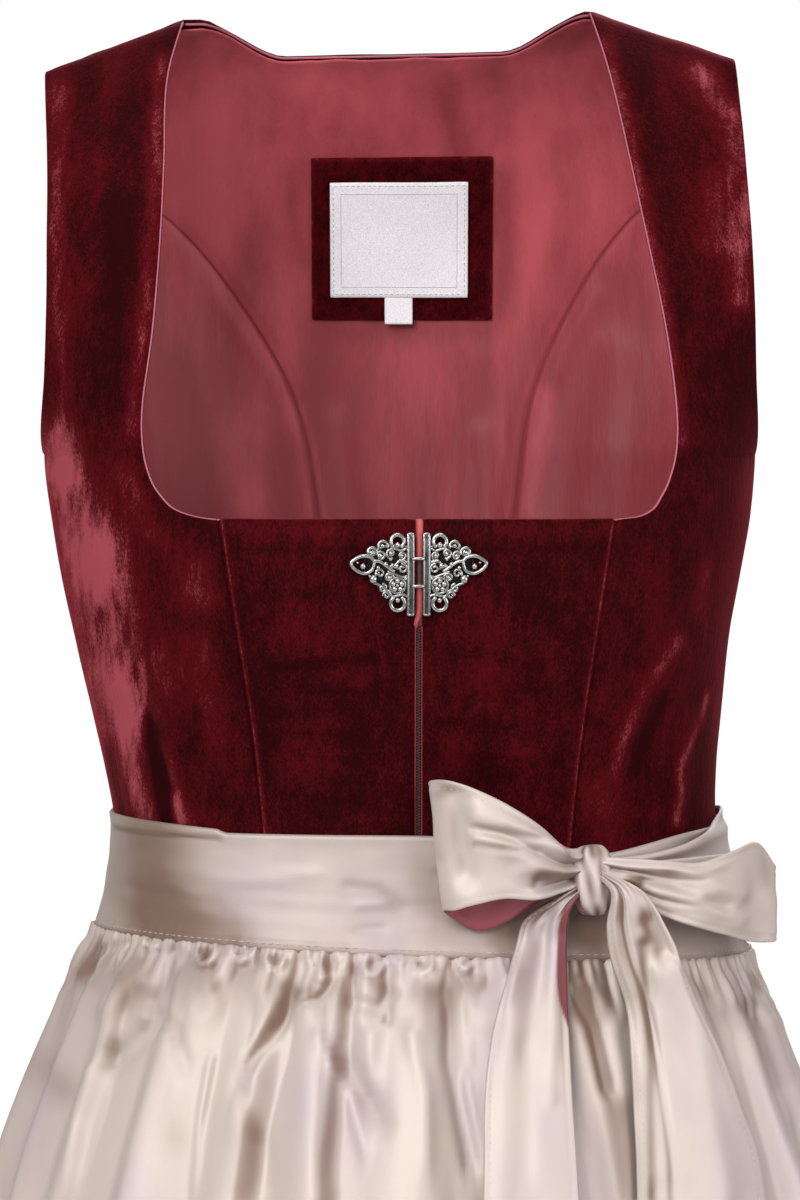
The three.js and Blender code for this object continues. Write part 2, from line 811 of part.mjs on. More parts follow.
// The tie goes from the band's end on the wearer's right round the back, climbs over the band's
// other end and narrows to the knot
function tie_back() {
  const start = 360 - band_half_angle - gap_angle(row_at(sections, band_top), seam);
  const rows = levels(0, 1, 3).map((v) =>
    levels(tie_end, start, tie_columns).map((angle, i) => {
      const narrow = 1 - smooth(tie_end, tie_narrow_from, angle);
      const on_band = 1 - smooth(tie_over_band.from, tie_over_band.to, angle);
      const low = mix(band_edge(angle) + tie_inset, tie_at_knot.low, narrow);
      const high = mix(band_top + tie_above_band * on_band, tie_at_knot.high, narrow);
      const height = mix(low, high, v);
      const t = row_at(sections, height);
      const lift = band_gap + (band_cloth + layer) * on_band + tie_at_knot.lift * narrow;
      return { s: i / tie_columns, outer: place(angle, t, lift + tie_cloth), inner: place(angle, t, lift) };
    }),
  );
  return mesh("tie_back", wall_geometry(rows), satin_look);
}

// Bow. Each row of a ribbon gives its two edges, upper (or wearer's right) first.
const inner_loop_rows = [
  { x1: 79, z1: -342, x2: 79, z2: -354, y1: -93, y2: -93 },
  { x1: 70.5, z1: -340.5, x2: 69, z2: -358, y1: -102, y2: -102 },
  { x1: 60, z1: -331, x2: 59.3, z2: -360.3, y1: -111, y2: -111 },
  { x1: 46, z1: -322, x2: 46, z2: -359.5, y1: -117, y2: -115 },
  { x1: 34, z1: -316.4, x2: 33.6, z2: -361.9, y1: -118, y2: -116 },
  { x1: 23, z1: -313.2, x2: 26, z2: -364.3, y1: -115, y2: -113 },
  { x1: 16.3, z1: -313.6, x2: 21.5, z2: -365, y1: -108, y2: -106.5 },
  { x1: 17.5, z1: -315.3, x2: 24.5, z2: -368, y1: -102, y2: -101 },
  { x1: 26, z1: -318.5, x2: 34.5, z2: -373.5, y1: -101, y2: -100 },
  { x1: 44, z1: -325.5, x2: 46, z2: -370.7, y1: -99.5, y2: -98 },
  { x1: 62, z1: -336.7, x2: 63.3, z2: -361, y1: -94, y2: -93.5 },
  { x1: 79, z1: -345, x2: 78, z2: -356.6, y1: -89.5, y2: -89.5 },
];
const outer_loop_rows = [
  { x1: 83, z1: -345, x2: 84, z2: -356, y1: -95, y2: -95 },
  { x1: 98, z1: -345.5, x2: 98.5, z2: -361.5, y1: -97, y2: -97 },
  { x1: 110, z1: -346.3, x2: 110, z2: -368, y1: -96, y2: -96.5 },
  { x1: 125.5, z1: -347.8, x2: 123, z2: -372.8, y1: -90, y2: -92 },
  { x1: 140, z1: -344, x2: 136, z2: -377, y1: -78, y2: -82 },
  { x1: 150.3, z1: -341.8, x2: 148, z2: -381, y1: -64, y2: -69 },
  { x1: 158, z1: -352, x2: 158, z2: -382, y1: -54, y2: -58 },
  { x1: 154, z1: -347, x2: 154, z2: -381, y1: -48, y2: -51 },
  { x1: 144, z1: -346.5, x2: 143, z2: -378, y1: -56, y2: -58 },
  { x1: 129, z1: -347, x2: 127, z2: -373, y1: -69, y2: -70 },
  { x1: 111, z1: -347.6, x2: 110, z2: -365, y1: -82, y2: -82 },
  { x1: 86, z1: -349, x2: 87, z2: -357, y1: -89, y2: -89 },
];
// The tails hang from the knot over the apron: x of both edges, height, and how far each edge
// stands before the form
const inner_tail_rows = [
  { right: 78, left: 83, height: -356, right_lift: 14, left_lift: 16 },
  { right: 67, left: 74.5, height: -362, right_lift: 15.5, left_lift: 17 },
  { right: 54.7, left: 71.4, height: -370, right_lift: 10.5, left_lift: 15 },
  { right: 51, left: 70.8, height: -381, right_lift: 7.5, left_lift: 12 },
  { right: 43.6, left: 70.9, height: -405, right_lift: 10, left_lift: 12.5 },
  { right: 40.2, left: 71.5, height: -421, right_lift: 12.5, left_lift: 14 },
  { right: 38.1, left: 72.4, height: -441, right_lift: 14.5, left_lift: 15.5 },
  { right: 37.5, left: 74.5, height: -477, right_lift: 16, left_lift: 16.5 },
  { right: 35, left: 78, height: -560, right_lift: 17, left_lift: 17.5 },
  { right: 33, left: 80, height: -660, right_lift: 17.5, left_lift: 18 },
  { right: 31, left: 82, height: -770, right_lift: 18, left_lift: 18.5 },
  { right: 29, left: 83, height: -868, right_lift: 18, left_lift: 18.5 },
];
const outer_tail_rows = [
  { right: 80, left: 86, height: -351, right_lift: 15, left_lift: 18 },
  { right: 89, left: 101.5, height: -358, right_lift: 26, left_lift: 35 },
  { right: 87.6, left: 110, height: -372, right_lift: 25, left_lift: 37 },
  { right: 89.4, left: 116.8, height: -386, right_lift: 21, left_lift: 35 },
  { right: 95.5, left: 124.5, height: -405, right_lift: 17, left_lift: 30 },
  { right: 97.4, left: 134, height: -425, right_lift: 15, left_lift: 27 },
  { right: 98.4, left: 142, height: -447, right_lift: 15, left_lift: 25 },
  { right: 99.2, left: 151, height: -477, right_lift: 16, left_lift: 22 },
  { right: 99, left: 156, height: -560, right_lift: 18, left_lift: 21 },
  { right: 98, left: 158, height: -660, right_lift: 18.5, left_lift: 21 },
  { right: 97, left: 160, height: -770, right_lift: 19, left_lift: 21 },
  { right: 96, left: 161, height: -866, right_lift: 19, left_lift: 21 },
];
const tail_slant = 14; // the tails' ends are cut at a slant
const knot = { x: 82, y: -92.1, z: -354.3, wide: 0.95, deep: 0.92, tilt: -6 };
const knot_profile = [
  { radius: 0, up: -14 },
  { radius: 5.2, up: -13.6 },
  { radius: 8, up: -10.5 },
  { radius: 9, up: -4 },
  { radius: 8.8, up: 3 },
  { radius: 7.6, up: 10 },
  { radius: 5, up: 13.4 },
  { radius: 0, up: 14 },
];

function ribbon(rows, point, across, along) {
  const steps = (rows.length - 1) * along;
  const tiny = 0.02;
  const grid = levels(0, rows.length - 1, steps).map((t) =>
    levels(0, 1, across).map((s) => {
      const low = Math.max(t - tiny, 0);
      const high = Math.min(t + tiny, rows.length - 1);
      const ahead = point(high, s).sub(point(low, s));
      const beside = point(t, Math.min(s + tiny, 1)).sub(point(t, Math.max(s - tiny, 0)));
      const normal = beside.cross(ahead).normalize().multiplyScalar(tie_cloth / 2);
      const middle = point(t, s);
      return { s, outer: middle.clone().add(normal), inner: middle.sub(normal) };
    }),
  );
  return wall_geometry(grid);
}

function loop_geometry(rows) {
  const point = (t, s) => {
    const first = ["x1", "y1", "z1"].map((name) => column(rows, name, t));
    const second = ["x2", "y2", "z2"].map((name) => column(rows, name, t));
    return new THREE.Vector3(...first).lerp(new THREE.Vector3(...second), s);
  };
  return ribbon(rows, point, 3, 2);
}

function tail_geometry(rows) {
  const point = (t, s) => {
    const x = mix(column(rows, "right", t), column(rows, "left", t), s);
    const end = smooth(rows.length - 2, rows.length - 1, t);
    const below = on_front(x, column(rows, "height", t) - tail_slant * s * end, 0);
    below.y -= mix(column(rows, "right_lift", t), column(rows, "left_lift", t), s);
    return below;
  };
  return ribbon(rows, point, 3, 2);
}

// The knot is a rounded barrel of bunched satin, a little flattened. extra makes it larger all round.
function knot_geometry(extra) {
  const points = knot_profile.map(({ radius, up }) => {
    const grown = radius === 0 ? 0 : radius + extra;
    return new THREE.Vector2(grown, up + Math.sign(up) * extra);
  });
  const geometry = new THREE.LatheGeometry(points, 16);
  geometry.rotateX(Math.PI / 2);
  geometry.scale(knot.wide, knot.deep, 1);
  geometry.rotateY(radians(knot.tilt));
  geometry.translate(knot.x, knot.y, knot.z);
  return geometry;
}

function bow() {
  const around_knot = to_solid(knot_geometry(seam));
  const clear = (name, geometry) => {
    const cut = to_solid(geometry).subtract(around_knot);
    const bodies = cut.decompose().sort((a, b) => b.volume() - a.volume());
    return mesh(name, from_solid(bodies[0]), satin_look);
  };
  return [
    mesh("bow_knot", from_solid(to_solid(knot_geometry(0))), satin_look),
    clear("bow_loop_inner", loop_geometry(inner_loop_rows)),
    clear("bow_loop_outer", loop_geometry(outer_loop_rows)),
    clear("bow_tail_inner", tail_geometry(inner_tail_rows)),
    clear("bow_tail_outer", tail_geometry(outer_tail_rows)),
    clear("tie_back", tie_back().geometry),
  ];
}

const dirndl = new THREE.Group();
dirndl.add(
  front_centre("front_centre_right", "right"),
  front_centre("front_centre_left", "left"),
  front_side("front_side_right", "right"),
  front_side("front_side_left", "left"),
  back_side("back_side_right", "right", velvet_look, 0, -cloth, 0),
  back_side("back_side_left", "left", velvet_look, 0, -cloth, 0),
  back_centre("back_centre", velvet_look, 0, -cloth, 0),
  back_side("lining_side_right", "right", lining_look, lining_outside, lining_inside, edge_inset),
  back_side("lining_side_left", "left", lining_look, lining_outside, lining_inside, edge_inset),
  back_centre("lining_back", lining_look, lining_outside, lining_inside, edge_inset),
  ...labels(),
  ...zip(),
  clasp("clasp_right", -1, true),
  clasp("clasp_left", 1, false),
  skirt_panel("skirt_front", -45),
  skirt_panel("skirt_left", 45),
  skirt_panel("skirt_back", 135),
  skirt_panel("skirt_right", 225),
  apron_panel(),
  apron_band(),
  ...bow(),
);

export default dirndl;
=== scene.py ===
"""The looks of a velvet dirndl with a satin apron, filled out as it is worn.

Lengths in the tables and functions are millimetres in the model's own frame: +Z up, the front faces -Y and
the wearer's left is +X. A mesh gets them in metres.
"""

import math

import bpy
import numpy as np
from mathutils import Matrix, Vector


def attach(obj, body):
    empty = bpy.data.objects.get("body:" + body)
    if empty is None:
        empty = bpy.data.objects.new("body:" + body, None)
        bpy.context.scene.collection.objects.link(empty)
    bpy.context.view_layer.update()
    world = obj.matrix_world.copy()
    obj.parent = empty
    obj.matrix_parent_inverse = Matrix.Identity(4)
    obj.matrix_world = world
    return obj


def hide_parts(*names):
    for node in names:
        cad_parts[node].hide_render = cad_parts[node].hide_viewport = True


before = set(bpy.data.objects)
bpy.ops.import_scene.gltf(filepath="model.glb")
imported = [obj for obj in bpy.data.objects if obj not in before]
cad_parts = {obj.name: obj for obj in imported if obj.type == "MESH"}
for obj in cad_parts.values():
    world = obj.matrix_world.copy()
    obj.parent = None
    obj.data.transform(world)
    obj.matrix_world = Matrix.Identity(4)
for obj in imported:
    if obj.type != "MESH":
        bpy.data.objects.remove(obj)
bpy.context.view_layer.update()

MM = 0.001


# Small mathematics
def mix(a, b, t):
    return a + (b - a) * t


def smooth(start, end, value):
    t = np.clip((value - start) / (end - start), 0, 1)
    return t * t * (3 - 2 * t)


def signed_power(value, power):
    return np.sign(value) * np.abs(value) ** power


def table(names, *rows):
    """A table as one array for each named column."""
    return {name: np.array([row[i] for row in rows], float) for i, name in enumerate(names.split())}


def column(rows, name, t):
    """A column at row t, on a smooth curve through its rows."""
    values = rows[name]
    last = len(values) - 1
    at = np.clip(np.asarray(t, float), 0, last)
    i = np.minimum(at.astype(int), last - 1)
    f = at - i
    ends = [2 * values[0] - values[1]], [2 * values[-1] - values[-2]]
    around = np.concatenate([ends[0], values, ends[1]])
    a, b, c, d = (around[i + k] for k in range(4))
    return b + 0.5 * f * (c - a + f * (2 * a - 5 * b + 4 * c - d + f * (3 * (b - c) + d - a)))


def row_at(rows, height):
    """The row of a table at which its height column has a given value."""
    t = np.linspace(0, len(rows["height"]) - 1, 6001)
    heights = column(rows, "height", t)
    if heights[0] > heights[-1]:
        return np.interp(-np.asarray(height, float), -heights, t)
    return np.interp(height, heights, t)


def at_height(rows, name, height):
    return column(rows, name, row_at(rows, height))


def noise(u, v, seed):
    """Smooth noise from -1 to 1, with about one lump for each unit."""
    cells = 64
    values = np.random.default_rng(seed).uniform(-1, 1, (cells, cells))
    iu = np.floor(u).astype(int)
    iv = np.floor(v).astype(int)
    fu = smooth(0, 1, u - iu)
    fv = smooth(0, 1, v - iv)
    low = mix(values[iu % cells, iv % cells], values[(iu + 1) % cells, iv % cells], fu)
    high = mix(values[iu % cells, (iv + 1) % cells], values[(iu + 1) % cells, (iv + 1) % cells], fu)
    return mix(low, high, fv)


def bell(value, width):
    """1 where the value is 0, and almost 0 from two widths on."""
    return np.exp(-((value / width) ** 2))


def strokes(x, z, rows):
    """Sum of soft strokes along short paths. Each row is a width, a strength and the path as x, z, x, z."""
    total = np.zeros(np.shape(x))
    for width, strength, *path in rows:
        ends = list(zip(path[::2], path[1::2]))
        nearest = np.full(np.shape(x), 1e9)
        for (x1, z1), (x2, z2) in zip(ends, ends[1:]):
            dx, dz = x2 - x1, z2 - z1
            s = np.clip(((x - x1) * dx + (z - z1) * dz) / (dx * dx + dz * dz), 0, 1)
            nearest = np.minimum(nearest, np.hypot(x - x1 - s * dx, z - z1 - s * dz))
        total += strength * bell(nearest, width)
    return total


# The form that the cloth follows, as in the model's source
cloth = 1.5
faced_cloth = 2
lining_cloth = 1
skirt_cloth = 1.2
satin = 1.2
band_cloth = 2
tie_cloth = 1.4
seam = 0.3
layer = 0.5
band_gap = 0.8
waist = -365
skirt_hem = -1015
apron_hem = -985
front_neck = -208
underarm = -183
zip_x = 11.3
zip_opening = 4
zip_top = -251
roundness = 2.25
shoulder_fall = 0.35
shoulder_tilt = 0.022
shoulder_raise = 2
shoulder_start = -110
neck_half = 86
armhole_reach = 95
armhole_turn = 34
side_top = -56

sections = table(
    "height centre right left front side back",
    (-1015, 11, -277, 299, -262, 0, 262),
    (-850, 11, -242, 264, -226, 0, 224),
    (-720, 11, -213, 235, -196, 0, 192),
    (-620, 11, -190, 212, -171, 0, 166),
    (-540, 11, -170, 192, -149, -1, 144),
    (-480, 11, -155, 177, -132, -2, 127),
    (-442, 11, -142, 163, -120, -2, 115),
    (-415, 11, -133, 155, -110, -3, 105),
    (-395, 11, -127, 149, -102, -3, 97),
    (-378, 11, -121, 143, -95, -3, 90),
    (-362, 11, -117, 138.5, -91.5, -3, 86),
    (-340, 11, -115.5, 136, -91.5, -3, 86),
    (-316, 11, -119.5, 136.5, -95.5, -3, 88),
    (-290, 11, -125.2, 138, -102, -3, 91.5),
    (-262, 11, -131.6, 141, -109, -2, 96),
    (-235, 11, -137.2, 145.8, -113, -1, 99.5),
    (-208, 11, -142.6, 150.8, -112, 0, 101.5),
    (-180, 9.5, -145.6, 152.6, -106, 2, 103),
    (-150, 8, -143.2, 151, -96.5, 6, 103),
    (-120, 6.5, -142.2, 150.3, -84, 10, 101),
    (-90, 5.2, -142.3, 149.3, -69.5, 14, 96),
    (-62, 3, -142.6, 148, -52, 17, 87),
    (-38, 1, -143.4, 147, -33, 20, 75.5),
    (-20, -1, -144.4, 146, -14, 22, 63),
    (-8, -2, -145.2, 145.4, 3, 23.5, 49),
    (-2, -2, -145.6, 145, 14, 24, 35.5),
    (0, -2, -146, 145, 24.2, 24.5, 24.8),
)
top_row = len(sections["height"]) - 1
front_seam = table(
    "height right left",
    (-366, -50.8, 72.6),
    (-300, -57, 79),
    (-245, -65, 86.6),
    (-208, -70.6, 92.2),
)
neck_edge = table(
    "height right left",
    (-208, -70.9, 92.5),
    (-207, -79, 101),
    (-204, -88, 107),
    (-199, -93.5, 110.5),
    (-192, -98, 114),
    (-180, -101.3, 117),
    (-162, -101.6, 117),
    (-131, -97.6, 113),
    (-95, -95, 106),
    (-60, -94, 99),
    (-25, -93.8, 91.5),
    (0, -88.2, 84.3),
)
back_seam = table(
    "height right left",
    (-366, -27, 49),
    (-300, -28, 50),
    (-250, -30, 51.5),
    (-208, -32, 54),
    (-158, -43.5, 61.5),
    (-113, -70, 82),
    (-80, -98.2, 105.8),
    (-66, -121, 127),
    (-56, -139, 144.5),
)
bust = dict(centre=11, apart=60, height=-232, rise=5, width=40, reach=44)
back_neck = dict(height=-14, centre=1, level_half=46, rise_half=82)


def arm_angle(height):
    s = np.clip((height - underarm) / armhole_reach, 0, 1)
    return 90 - armhole_turn * np.sqrt(s * (2 - s))


def half_width(t, left_side):
    height = column(sections, "height", t)
    edge = np.where(left_side, column(sections, "left", t), column(sections, "right", t))
    reach = np.abs(edge - column(sections, "centre", t))
    return reach / np.sin(np.radians(arm_angle(height))) ** (2 / roundness)


def form(angle, t):
    """Points of the form. angle is 0 at the centre front and grows towards the wearer's left."""
    sine = np.sin(np.radians(angle))
    cosine = np.cos(np.radians(angle))
    height = column(sections, "height", t)
    centre = column(sections, "centre", t)
    side = column(sections, "side", t)
    x = centre + half_width(t, sine >= 0) * signed_power(sine, 2 / roundness)
    end = np.where(cosine > 0, column(sections, "front", t), column(sections, "back", t))
    y = side + (end - side) * np.abs(cosine) ** (2 / roundness)
    across = (np.abs(x - bust["centre"]) - bust["apart"]) / bust["width"]
    up = (height - bust["height"]) / bust["reach"]
    y -= bust["rise"] * np.exp(-across * across - up * up) * np.maximum(cosine, 0)
    ridge = smooth(shoulder_start, 0, height)
    fall = shoulder_fall * np.maximum(0, np.abs(x - centre) - neck_half) * ridge
    z = height - fall + (shoulder_tilt * x + shoulder_raise) * ridge
    return np.stack([x, y, z], -1)


def unit(vectors):
    return vectors / np.maximum(np.linalg.norm(vectors, axis=-1, keepdims=True), 1e-9)


def form_normal(angle, t):
    turn = 0.4
    step = 0.03
    across = form(angle + turn, t) - form(angle - turn, t)
    up = form(angle, np.minimum(t + step, top_row)) - form(angle, np.maximum(t - step, 0))
    up[..., 2] *= 1 - smooth(top_row - 1, top_row, t)
    return unit(np.cross(across, up))


def place(angle, t, lift):
    """Points above the form, or inside it where lift is below 0."""
    angle, t, lift = np.broadcast_arrays(angle, t, lift)
    return form(angle, t) + form_normal(angle, t) * lift[..., None]


def front_angle(x, t):
    away = x - column(sections, "centre", t)
    share = np.minimum(np.abs(away) / half_width(t, away >= 0), 1)
    return np.sign(away) * np.degrees(np.arcsin(share ** (roundness / 2)))


def on_front(x, height, lift):
    t = row_at(sections, height)
    return place(front_angle(x, t), t, lift)


def on_back(x, height, lift):
    t = row_at(sections, height)
    return place(180 - front_angle(x, t), t, lift)


def gap_angle(t, millimetres):
    return np.degrees(millimetres / half_width(t, True))


# Building meshes
root_body = "root"
# Direction of the light for which the satin's shade and highlight are painted
light_side = (-0.72, -0.15, 0.68)


def painted_fold_shade(points, plain):
    """Painted shade: how much more than its plain form satin turns away from the light; below 0, a painted
    highlight where it turns to it.
    """
    return -((grid_normals(points) - plain) @ unit(np.array(light_side)))


def grid_normals(points):
    return unit(np.cross(np.gradient(points, axis=1), np.gradient(points, axis=0)))


def lengths_along(points, axis):
    """Distance from the first point along one axis of a grid."""
    steps = np.linalg.norm(np.diff(points, axis=axis), axis=-1)
    zero = np.zeros_like(np.take(steps, [0], axis=axis))
    return np.concatenate([zero, np.cumsum(steps, axis=axis)], axis=axis)


def piece(name, vertices, faces, where, values, looks, node=None, look=0):
    """A mesh as a piece of the model. where is each point's place on the cloth, values are named numbers for
    each point, look is each face's place in looks, and node is the solid that the piece replaces."""
    mesh = mesh_of(name, vertices, faces, look)
    layer_uv = mesh.uv_layers.new(name="cloth")
    layer_uv.data.foreach_set("uv", (where * MM)[faces.ravel()].astype(np.float32).ravel())
    for key, value in values.items():
        mesh.attributes.new(key, "FLOAT", "POINT").data.foreach_set("value", value.astype(np.float32).ravel())
    for material in looks:
        mesh.materials.append(material)
    made = bpy.data.objects.new(name, mesh)
    bpy.context.scene.collection.objects.link(made)
    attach(made, root_body)
    if node:
        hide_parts(node)
    return made


def shell(name, points, thickness, looks, values, node=None):
    """One closed wall of cloth. points is its outer face as rows by columns by 3, with columns running to the
    left as one looks at it from inside and rows running up. values are named numbers for each of them. The
    second look, if any, is the inner face's."""
    rows, columns = points.shape[:2]
    count = rows * columns
    index = np.arange(count).reshape(rows, columns)
    ring = np.concatenate([index[0], index[1:, -1], index[-1, -2::-1], index[-2:0:-1, 0]])
    inside = index.copy()
    inside[0], inside[-1] = index[1], index[-2]
    inside[:, 0] = inside[:, 1]
    inside[:, -1] = inside[:, -2]
    outer = points.reshape(-1, 3)
    inner = outer - grid_normals(points).reshape(-1, 3) * thickness
    outward = unit(outer[ring] - outer[inside.ravel()[ring]])
    middle = (outer[ring] + inner[ring]) / 2 + outward * thickness * 0.45
    a, b = index[:-1, :-1].ravel(), index[:-1, 1:].ravel()
    c, d = index[1:, 1:].ravel(), index[1:, :-1].ravel()
    k = np.arange(len(ring))
    after = (k + 1) % len(ring)
    faces = [
        np.stack([a, b, c, d], 1),
        np.stack([ring[after], ring, 2 * count + k, 2 * count + after], 1),
        np.stack([a, d, c, b], 1) + count,
        np.stack([2 * count + after, 2 * count + k, ring + count, ring[after] + count], 1),
    ]
    look = np.repeat([0, 0, len(looks) - 1, len(looks) - 1], [len(part) for part in faces])

    def spread(value):
        flat = value.reshape(count, -1)
        return np.concatenate([flat, flat, flat[ring]])

    where = spread(np.stack([lengths_along(points, 1), lengths_along(points, 0)], -1))
    values = {key: spread(value) for key, value in values.items()}
    vertices = np.concatenate([outer, inner, middle])
    node = node or name.removesuffix("_cloth")
    return piece(name, vertices, np.concatenate(faces), where, values, looks, node, look)


def mesh_of(name, vertices, faces, look=0):
    mesh = bpy.data.meshes.new(name)
    count, corners = faces.shape
    mesh.vertices.add(len(vertices))
    mesh.vertices.foreach_set("co", (vertices * MM).astype(np.float32).ravel())
    mesh.loops.add(faces.size)
    mesh.loops.foreach_set("vertex_index", faces.astype(np.int32).ravel())
    mesh.polygons.add(count)
    mesh.polygons.foreach_set("loop_start", np.arange(count, dtype=np.int32) * corners)
    mesh.polygons.foreach_set("loop_total", np.full(count, corners, np.int32))
    mesh.polygons.foreach_set("material_index", np.full(count, look, np.int32))
    mesh.polygons.foreach_set("use_smooth", np.ones(count, bool))
    mesh.update(calc_edges=True)
    return mesh


class Trim:
    """Many small tubes and beads that become one mesh."""

    def __init__(self):
        self.vertices = []
        self.faces = []
        self.count = 0

    def wrap(self, points, closed=False):
        """A form from rings of points. Its ends meet if it is closed, and get lids if it isn't."""
        rings, around = points.shape[:2]
        index = np.arange(rings * around).reshape(rings, around) + self.count
        first = index if closed else index[:-1]
        second = np.roll(index, -1, 0) if closed else index[1:]
        sides = np.stack([first, np.roll(first, -1, 1), np.roll(second, -1, 1), second], -1)
        self.faces.append(sides.reshape(-1, 4))
        for row, order in () if closed else ((index[0], -1), (index[-1], 1)):
            for k in range(1, around - 2, 2):
                self.faces.append(row[[0, k, k + 1, k + 2]][::order][None])
        self.vertices.append(points.reshape(-1, 3))
        self.count += rings * around

    def tube(self, path, radius, sides, closed=False):
        """A tube along a path. An open end gets a smaller ring before its lid."""
        path = np.asarray(path, float)
        ahead = unit(np.roll(path, -1, 0) - np.roll(path, 1, 0) if closed else np.gradient(path, axis=0))
        side = unit(np.cross(ahead, (0.13, -1, 0.21)))
        turn = np.linspace(0, 2 * math.pi, sides, endpoint=False)[:, None]
        ring = side[:, None] * np.cos(turn) + np.cross(side, ahead)[:, None] * np.sin(turn)
        points = path[:, None] + ring * radius
        if not closed:
            caps = [path[end] + ahead[end] * sign * radius * 0.6 + ring[end] * radius * 0.35
                    for end, sign in ((0, -1), (-1, 1))]
            points = np.concatenate([caps[:1], points, caps[1:]])
        self.wrap(points, closed)

    def bead(self, centre, radii, around, up, axes=np.eye(3)):
        """A ball or ellipsoid, with a lid too small to see at each pole."""
        turn = np.linspace(0, 2 * math.pi, around, endpoint=False)
        rise = np.linspace(-0.97, 0.97, up)[:, None] * math.pi / 2
        ball = [np.cos(rise) * np.cos(turn), np.cos(rise) * np.sin(turn), np.sin(rise) + 0 * turn]
        self.wrap(centre + (np.stack(ball, -1) * radii) @ axes)

    def stitches(self, path, length, gap, radius):
        """Small stitches along a path, one after the other."""
        far = lengths_along(path, 0)
        starts = np.arange(gap, far[-1] - length, length + gap)
        firsts, lasts = (np.stack([np.interp(at, far, path[:, k]) for k in range(3)], 1)
                         for at in (starts, starts + length))
        for first, last in zip(firsts, lasts):
            ahead = unit(last - first)
            side = unit(np.cross(ahead, (0.1, -1, 0.2)))
            axes = np.stack([side, np.cross(ahead, side), ahead])
            self.bead((first + last) / 2, (radius, radius, length / 2), 6, 4, axes)

    def build(self, name, look, slot, node=None, values=None):
        whole, faces = np.concatenate(self.vertices), np.concatenate(self.faces)
        return piece(name, whole, faces, whole[:, (0, 2)], values or {}, [look], node)


# Looks
black = (0, 0, 0)
white = (1, 1, 1)


class Look:
    """A material and short calls for its nodes."""

    def __init__(self, name, **settings):
        self.material = bpy.data.materials.new(name)
        self.material.use_nodes = True
        self.tree = self.material.node_tree
        self.shader = self.tree.nodes["Principled BSDF"]
        for socket, value in settings.items():
            self.shader.inputs[socket.replace("_", " ")].default_value = value

    def node(self, kind, links=None, **settings):
        made = self.tree.nodes.new("ShaderNode" + kind)
        for key, value in settings.items():
            if key in made.inputs:
                made.inputs[key].default_value = value
            else:
                setattr(made, key, value)
        for key, source in (links or {}).items():
            self.tree.links.new(source, made.inputs[key])
        return made

    def plug(self, sockets, values):
        """Numbers, colours or other nodes' outputs go into sockets."""
        for socket, value in zip(sockets, values):
            if isinstance(value, (int, float)):
                socket.default_value = value
            elif isinstance(value, tuple):
                socket.default_value = (*value, 1)
            else:
                self.tree.links.new(value, socket)

    def noise(self, stretch, detail, roughness, scale=1.0, source="Object"):
        """Noise in coordinates in metres, stretched by a factor for each axis."""
        where = self.node("TexCoord").outputs[source]
        vector = self.node("Mapping", {"Vector": where}, Scale=stretch).outputs["Vector"]
        made = self.node("TexNoise", {"Vector": vector}, Scale=scale, Detail=detail, Roughness=roughness)
        return made.outputs["Fac"]

    def attribute(self, name):
        return self.node("Attribute", attribute_name=name).outputs["Fac"]

    def maths(self, operation, first, second):
        made = self.node("Math", operation=operation)
        self.plug(made.inputs, (first, second))
        return made.outputs[0]

    def vary(self, value, *parts):
        """A value and, for each part, its noise round 0 times its strength."""
        for source, strength in parts:
            uneven = self.maths("MULTIPLY", self.maths("SUBTRACT", source, 0.5), strength)
            value = self.maths("ADD", value, uneven)
        return value

    def ramp(self, value, *stops):
        made = self.node("ValToRGB", {"Fac": value})
        band = made.color_ramp
        band.interpolation = "EASE"
        while len(band.elements) < len(stops):
            band.elements.new(0.5)
        for element, (position, colour) in zip(band.elements, stops):
            element.position = position
            element.color = (*colour, 1)
        return made.outputs["Color"]

    def blend(self, share, first, second, mode="MIX"):
        made = self.node("Mix", data_type="RGBA", blend_type=mode)
        self.plug((made.inputs[0], made.inputs[6], made.inputs[7]), (share, first, second))
        return made.outputs[2]

    def bump(self, height, distance, strength, below=None):
        links = {"Height": height, "Normal": below} if below else {"Height": height}
        return self.node("Bump", links, Distance=distance, Strength=strength).outputs["Normal"]

    def set(self, socket, source):
        self.tree.links.new(source, self.shader.inputs[socket])


def velvet_look(name, dark, middle, light):
    """Crushed pile, coloured by an attribute of random pile patches and of painted sheen and shade where the
    pile catches or loses the light.
    """
    look = Look(name, Roughness=0.85, Specular_IOR_Level=0.04, Sheen_Weight=0.33, Sheen_Roughness=0.32,
                Sheen_Tint=(0.9, 0.11, 0.15, 1))
    streaks = look.noise((380, 380, 110), 5.0, 0.7)
    grain = look.noise((1, 1, 0.45), 2.0, 0.7, 1500.0)
    value = look.vary(look.attribute("pile_and_sheen"), (streaks, 0.42), (grain, 0.75))
    look.set("Base Color", look.ramp(value, (0.08, dark), (0.45, middle), (0.95, light)))
    look.set("Normal", look.bump(streaks, 0.0012, 0.35, look.bump(grain, 0.0004, 0.5)))
    return look.material


